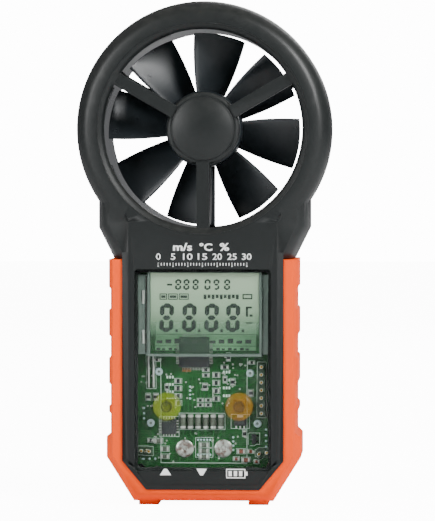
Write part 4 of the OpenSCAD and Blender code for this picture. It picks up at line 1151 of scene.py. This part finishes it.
def case_screw_heads():
    """Four pan heads with cross recesses and threaded shanks."""
    bm = bmesh.new()
    low, high = box_mm("case_screws")
    top = high[1]
    thread = [(1.25 - 0.25 * (k % 2), top - 2.2 - 0.5 * k) for k in range(46)]
    for x, z in standing_places("case_screws"):
        turned(bm, [(0, top - 1.0), (0.75, top - 1.0), (0.95, top - 0.1), (1.15, top), (1.9, top - 0.3),
                    (2.15, top - 0.9), (2.15, top - 1.5), (1.25, top - 1.6)] + thread
               + [(1.0, low[1] + 0.8), (0, low[1])], x, z, 28)
        for a in (0.4, 0.4 + math.pi / 2):
            arm = Vector((math.cos(a), math.sin(a))) * 1.45
            side = Vector((-arm.y, arm.x)).normalized() * 0.22
            c = Vector((x, z))
            slab(bm, [tuple(c - arm - side), tuple(c + arm - side), tuple(c + arm + side),
                      tuple(c - arm + side)], top - 0.05, top - 0.9)
    finished("case_screws_finished", bm, "screw_steel", replaced=("case_screws",))


def battery_block():
    """The battery in its plain printed jacket."""
    bm = bmesh.new()
    block(bm, *box_mm("battery"), 1.2)
    finished("battery_jacketed", bm, "battery_jacket", replaced=("battery",))


# ---- putting it together ----

# Nodes whose CAD shape is kept, with clean faces
for node in ("front_shell", "rear_shell", "front_grip", "rear_grip", "front_guard", "rear_guard",
             "duct_sleeve", "battery_door", "window_lens", "main_board", "wire_links",
             "tactile_switches", "lcd_frame", "front_bearing", "rear_bearing", "impeller_shaft",
             "sensor_magnet", "humidity_sensor", "sensor_cable", "humidity_cable", "hall_sensor",
             "battery_snaps"):
    refined(node)

vane_wheel()
hub_dome()
sleeve_seal()
display_panel()
display_backing()
display_figures()
display_sides()
chip_leads()
chips()
small_leads()
power_parts()
tiny_parts()
capsule_row()
headers()
round_fixings()
board_legend()
board_tracks()
board_pads()
key_caps()
key_marks()
panel_print()
case_screw_heads()
battery_block()

for node, thing in NODES.items():
    thing.data.materials.clear()
    thing.data.materials.append(LOOKS[SLOT_OF[node]])


# ---- studio ----

SEEN_WHITE = 14.0       # how bright the surroundings look to the camera
ROOM_LIGHT = 0.18       # how much they light the object
PAPER_GLOW = 12.0       # how far the floor is lifted for the camera
LIGHTS = (("key_light", (0.75, -0.6, 0.6), 0.4, 17.0), ("fill_light", (-0.75, -0.65, 0.4), 0.6, 9.0),
          ("back_light", (0.3, 0.9, 0.6), 0.6, 5.0))
LIT_POINT = (0, 0, 0.09)


def surroundings():
    """A white backdrop for the camera that lights the object only a little."""
    world = bpy.data.worlds.new("studio")
    bpy.context.scene.world = world
    world.use_nodes = True
    tree = world.node_tree
    path = put(tree, "ShaderNodeLightPath").outputs
    seen = put(tree, "ShaderNodeBackground", {"Color": (1, 1, 1, 1), "Strength": SEEN_WHITE})
    lit = put(tree, "ShaderNodeBackground", {"Color": (0.95, 0.97, 1, 1), "Strength": ROOM_LIGHT})
    both = put(tree, "ShaderNodeMixShader", {0: path["Is Camera Ray"], 1: lit.outputs[0],
                                             2: seen.outputs[0]})
    tree.links.new(both.outputs[0], tree.nodes["World Output"].inputs["Surface"])


def paper_floor():
    """A pale floor that looks as white as the backdrop."""
    shape = bpy.data.meshes.new("studio_floor")
    shape.from_pydata([(-3, -3, 0), (3, -3, 0), (3, 3, 0), (-3, 3, 0)], [], [(0, 1, 2, 3)])
    floor = bpy.data.objects.new("studio_floor", shape)
    pale = bpy.data.materials.new("studio_paper")
    pale.use_nodes = True
    tree = pale.node_tree
    mottle = put(tree, "ShaderNodeTexNoise", {"Scale": 3.0})
    shade = blend_colours(tree, mottle.outputs[0], (0.93, 0.93, 0.93, 1), (0.95, 0.95, 0.95, 1))
    surface = tree.nodes["Principled BSDF"]
    tree.links.new(shade, surface.inputs["Base Color"])
    surface.inputs["Roughness"].default_value = 0.9
    glow = put(tree, "ShaderNodeEmission", {"Color": (1, 1, 1, 1), "Strength": PAPER_GLOW})
    lifted = put(tree, "ShaderNodeAddShader", {0: surface.outputs[0], 1: glow.outputs[0]})
    path = put(tree, "ShaderNodeLightPath").outputs
    eye_only = put(tree, "ShaderNodeMixShader", {0: path["Is Camera Ray"], 1: surface.outputs[0],
                                                 2: lifted.outputs[0]})
    tree.links.new(eye_only.outputs[0], tree.nodes["Material Output"].inputs["Surface"])
    shape.materials.append(pale)
    bpy.context.scene.collection.objects.link(floor)
    return floor


def lamp(name, place, size, power):
    """A soft area light that faces the object."""
    light = bpy.data.lights.new(name, "AREA")
    light.energy = power
    light.size = size
    made = bpy.data.objects.new(name, light)
    made.location = place
    made.rotation_euler = (Vector(LIT_POINT) - Vector(place)).to_track_quat("-Z", "Y").to_euler()
    bpy.context.scene.collection.objects.link(made)
    return made


def camera():
    """A long lens a little to the right of the front and just above the middle."""
    target = Vector((4.9, -18.5, 80.3)) * MM
    distance, seen_height, sensor = 1.0, 0.1695, 36
    azimuth, elevation = math.radians(3.25), math.radians(1.5)
    away = Vector((math.sin(azimuth) * math.cos(elevation), -math.cos(azimuth) * math.cos(elevation),
                   math.sin(elevation)))
    lens = bpy.data.cameras.new("front_camera")
    lens.lens = sensor * distance / seen_height
    lens.clip_start = 0.05
    eye = bpy.data.objects.new("front_camera", lens)
    eye.location = target + away * distance
    eye.rotation_euler = (-away).to_track_quat("-Z", "Y").to_euler()
    bpy.context.scene.collection.objects.link(eye)
    bpy.context.scene.camera = eye


surroundings()
paper_floor()
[lamp(*light) for light in LIGHTS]
camera()
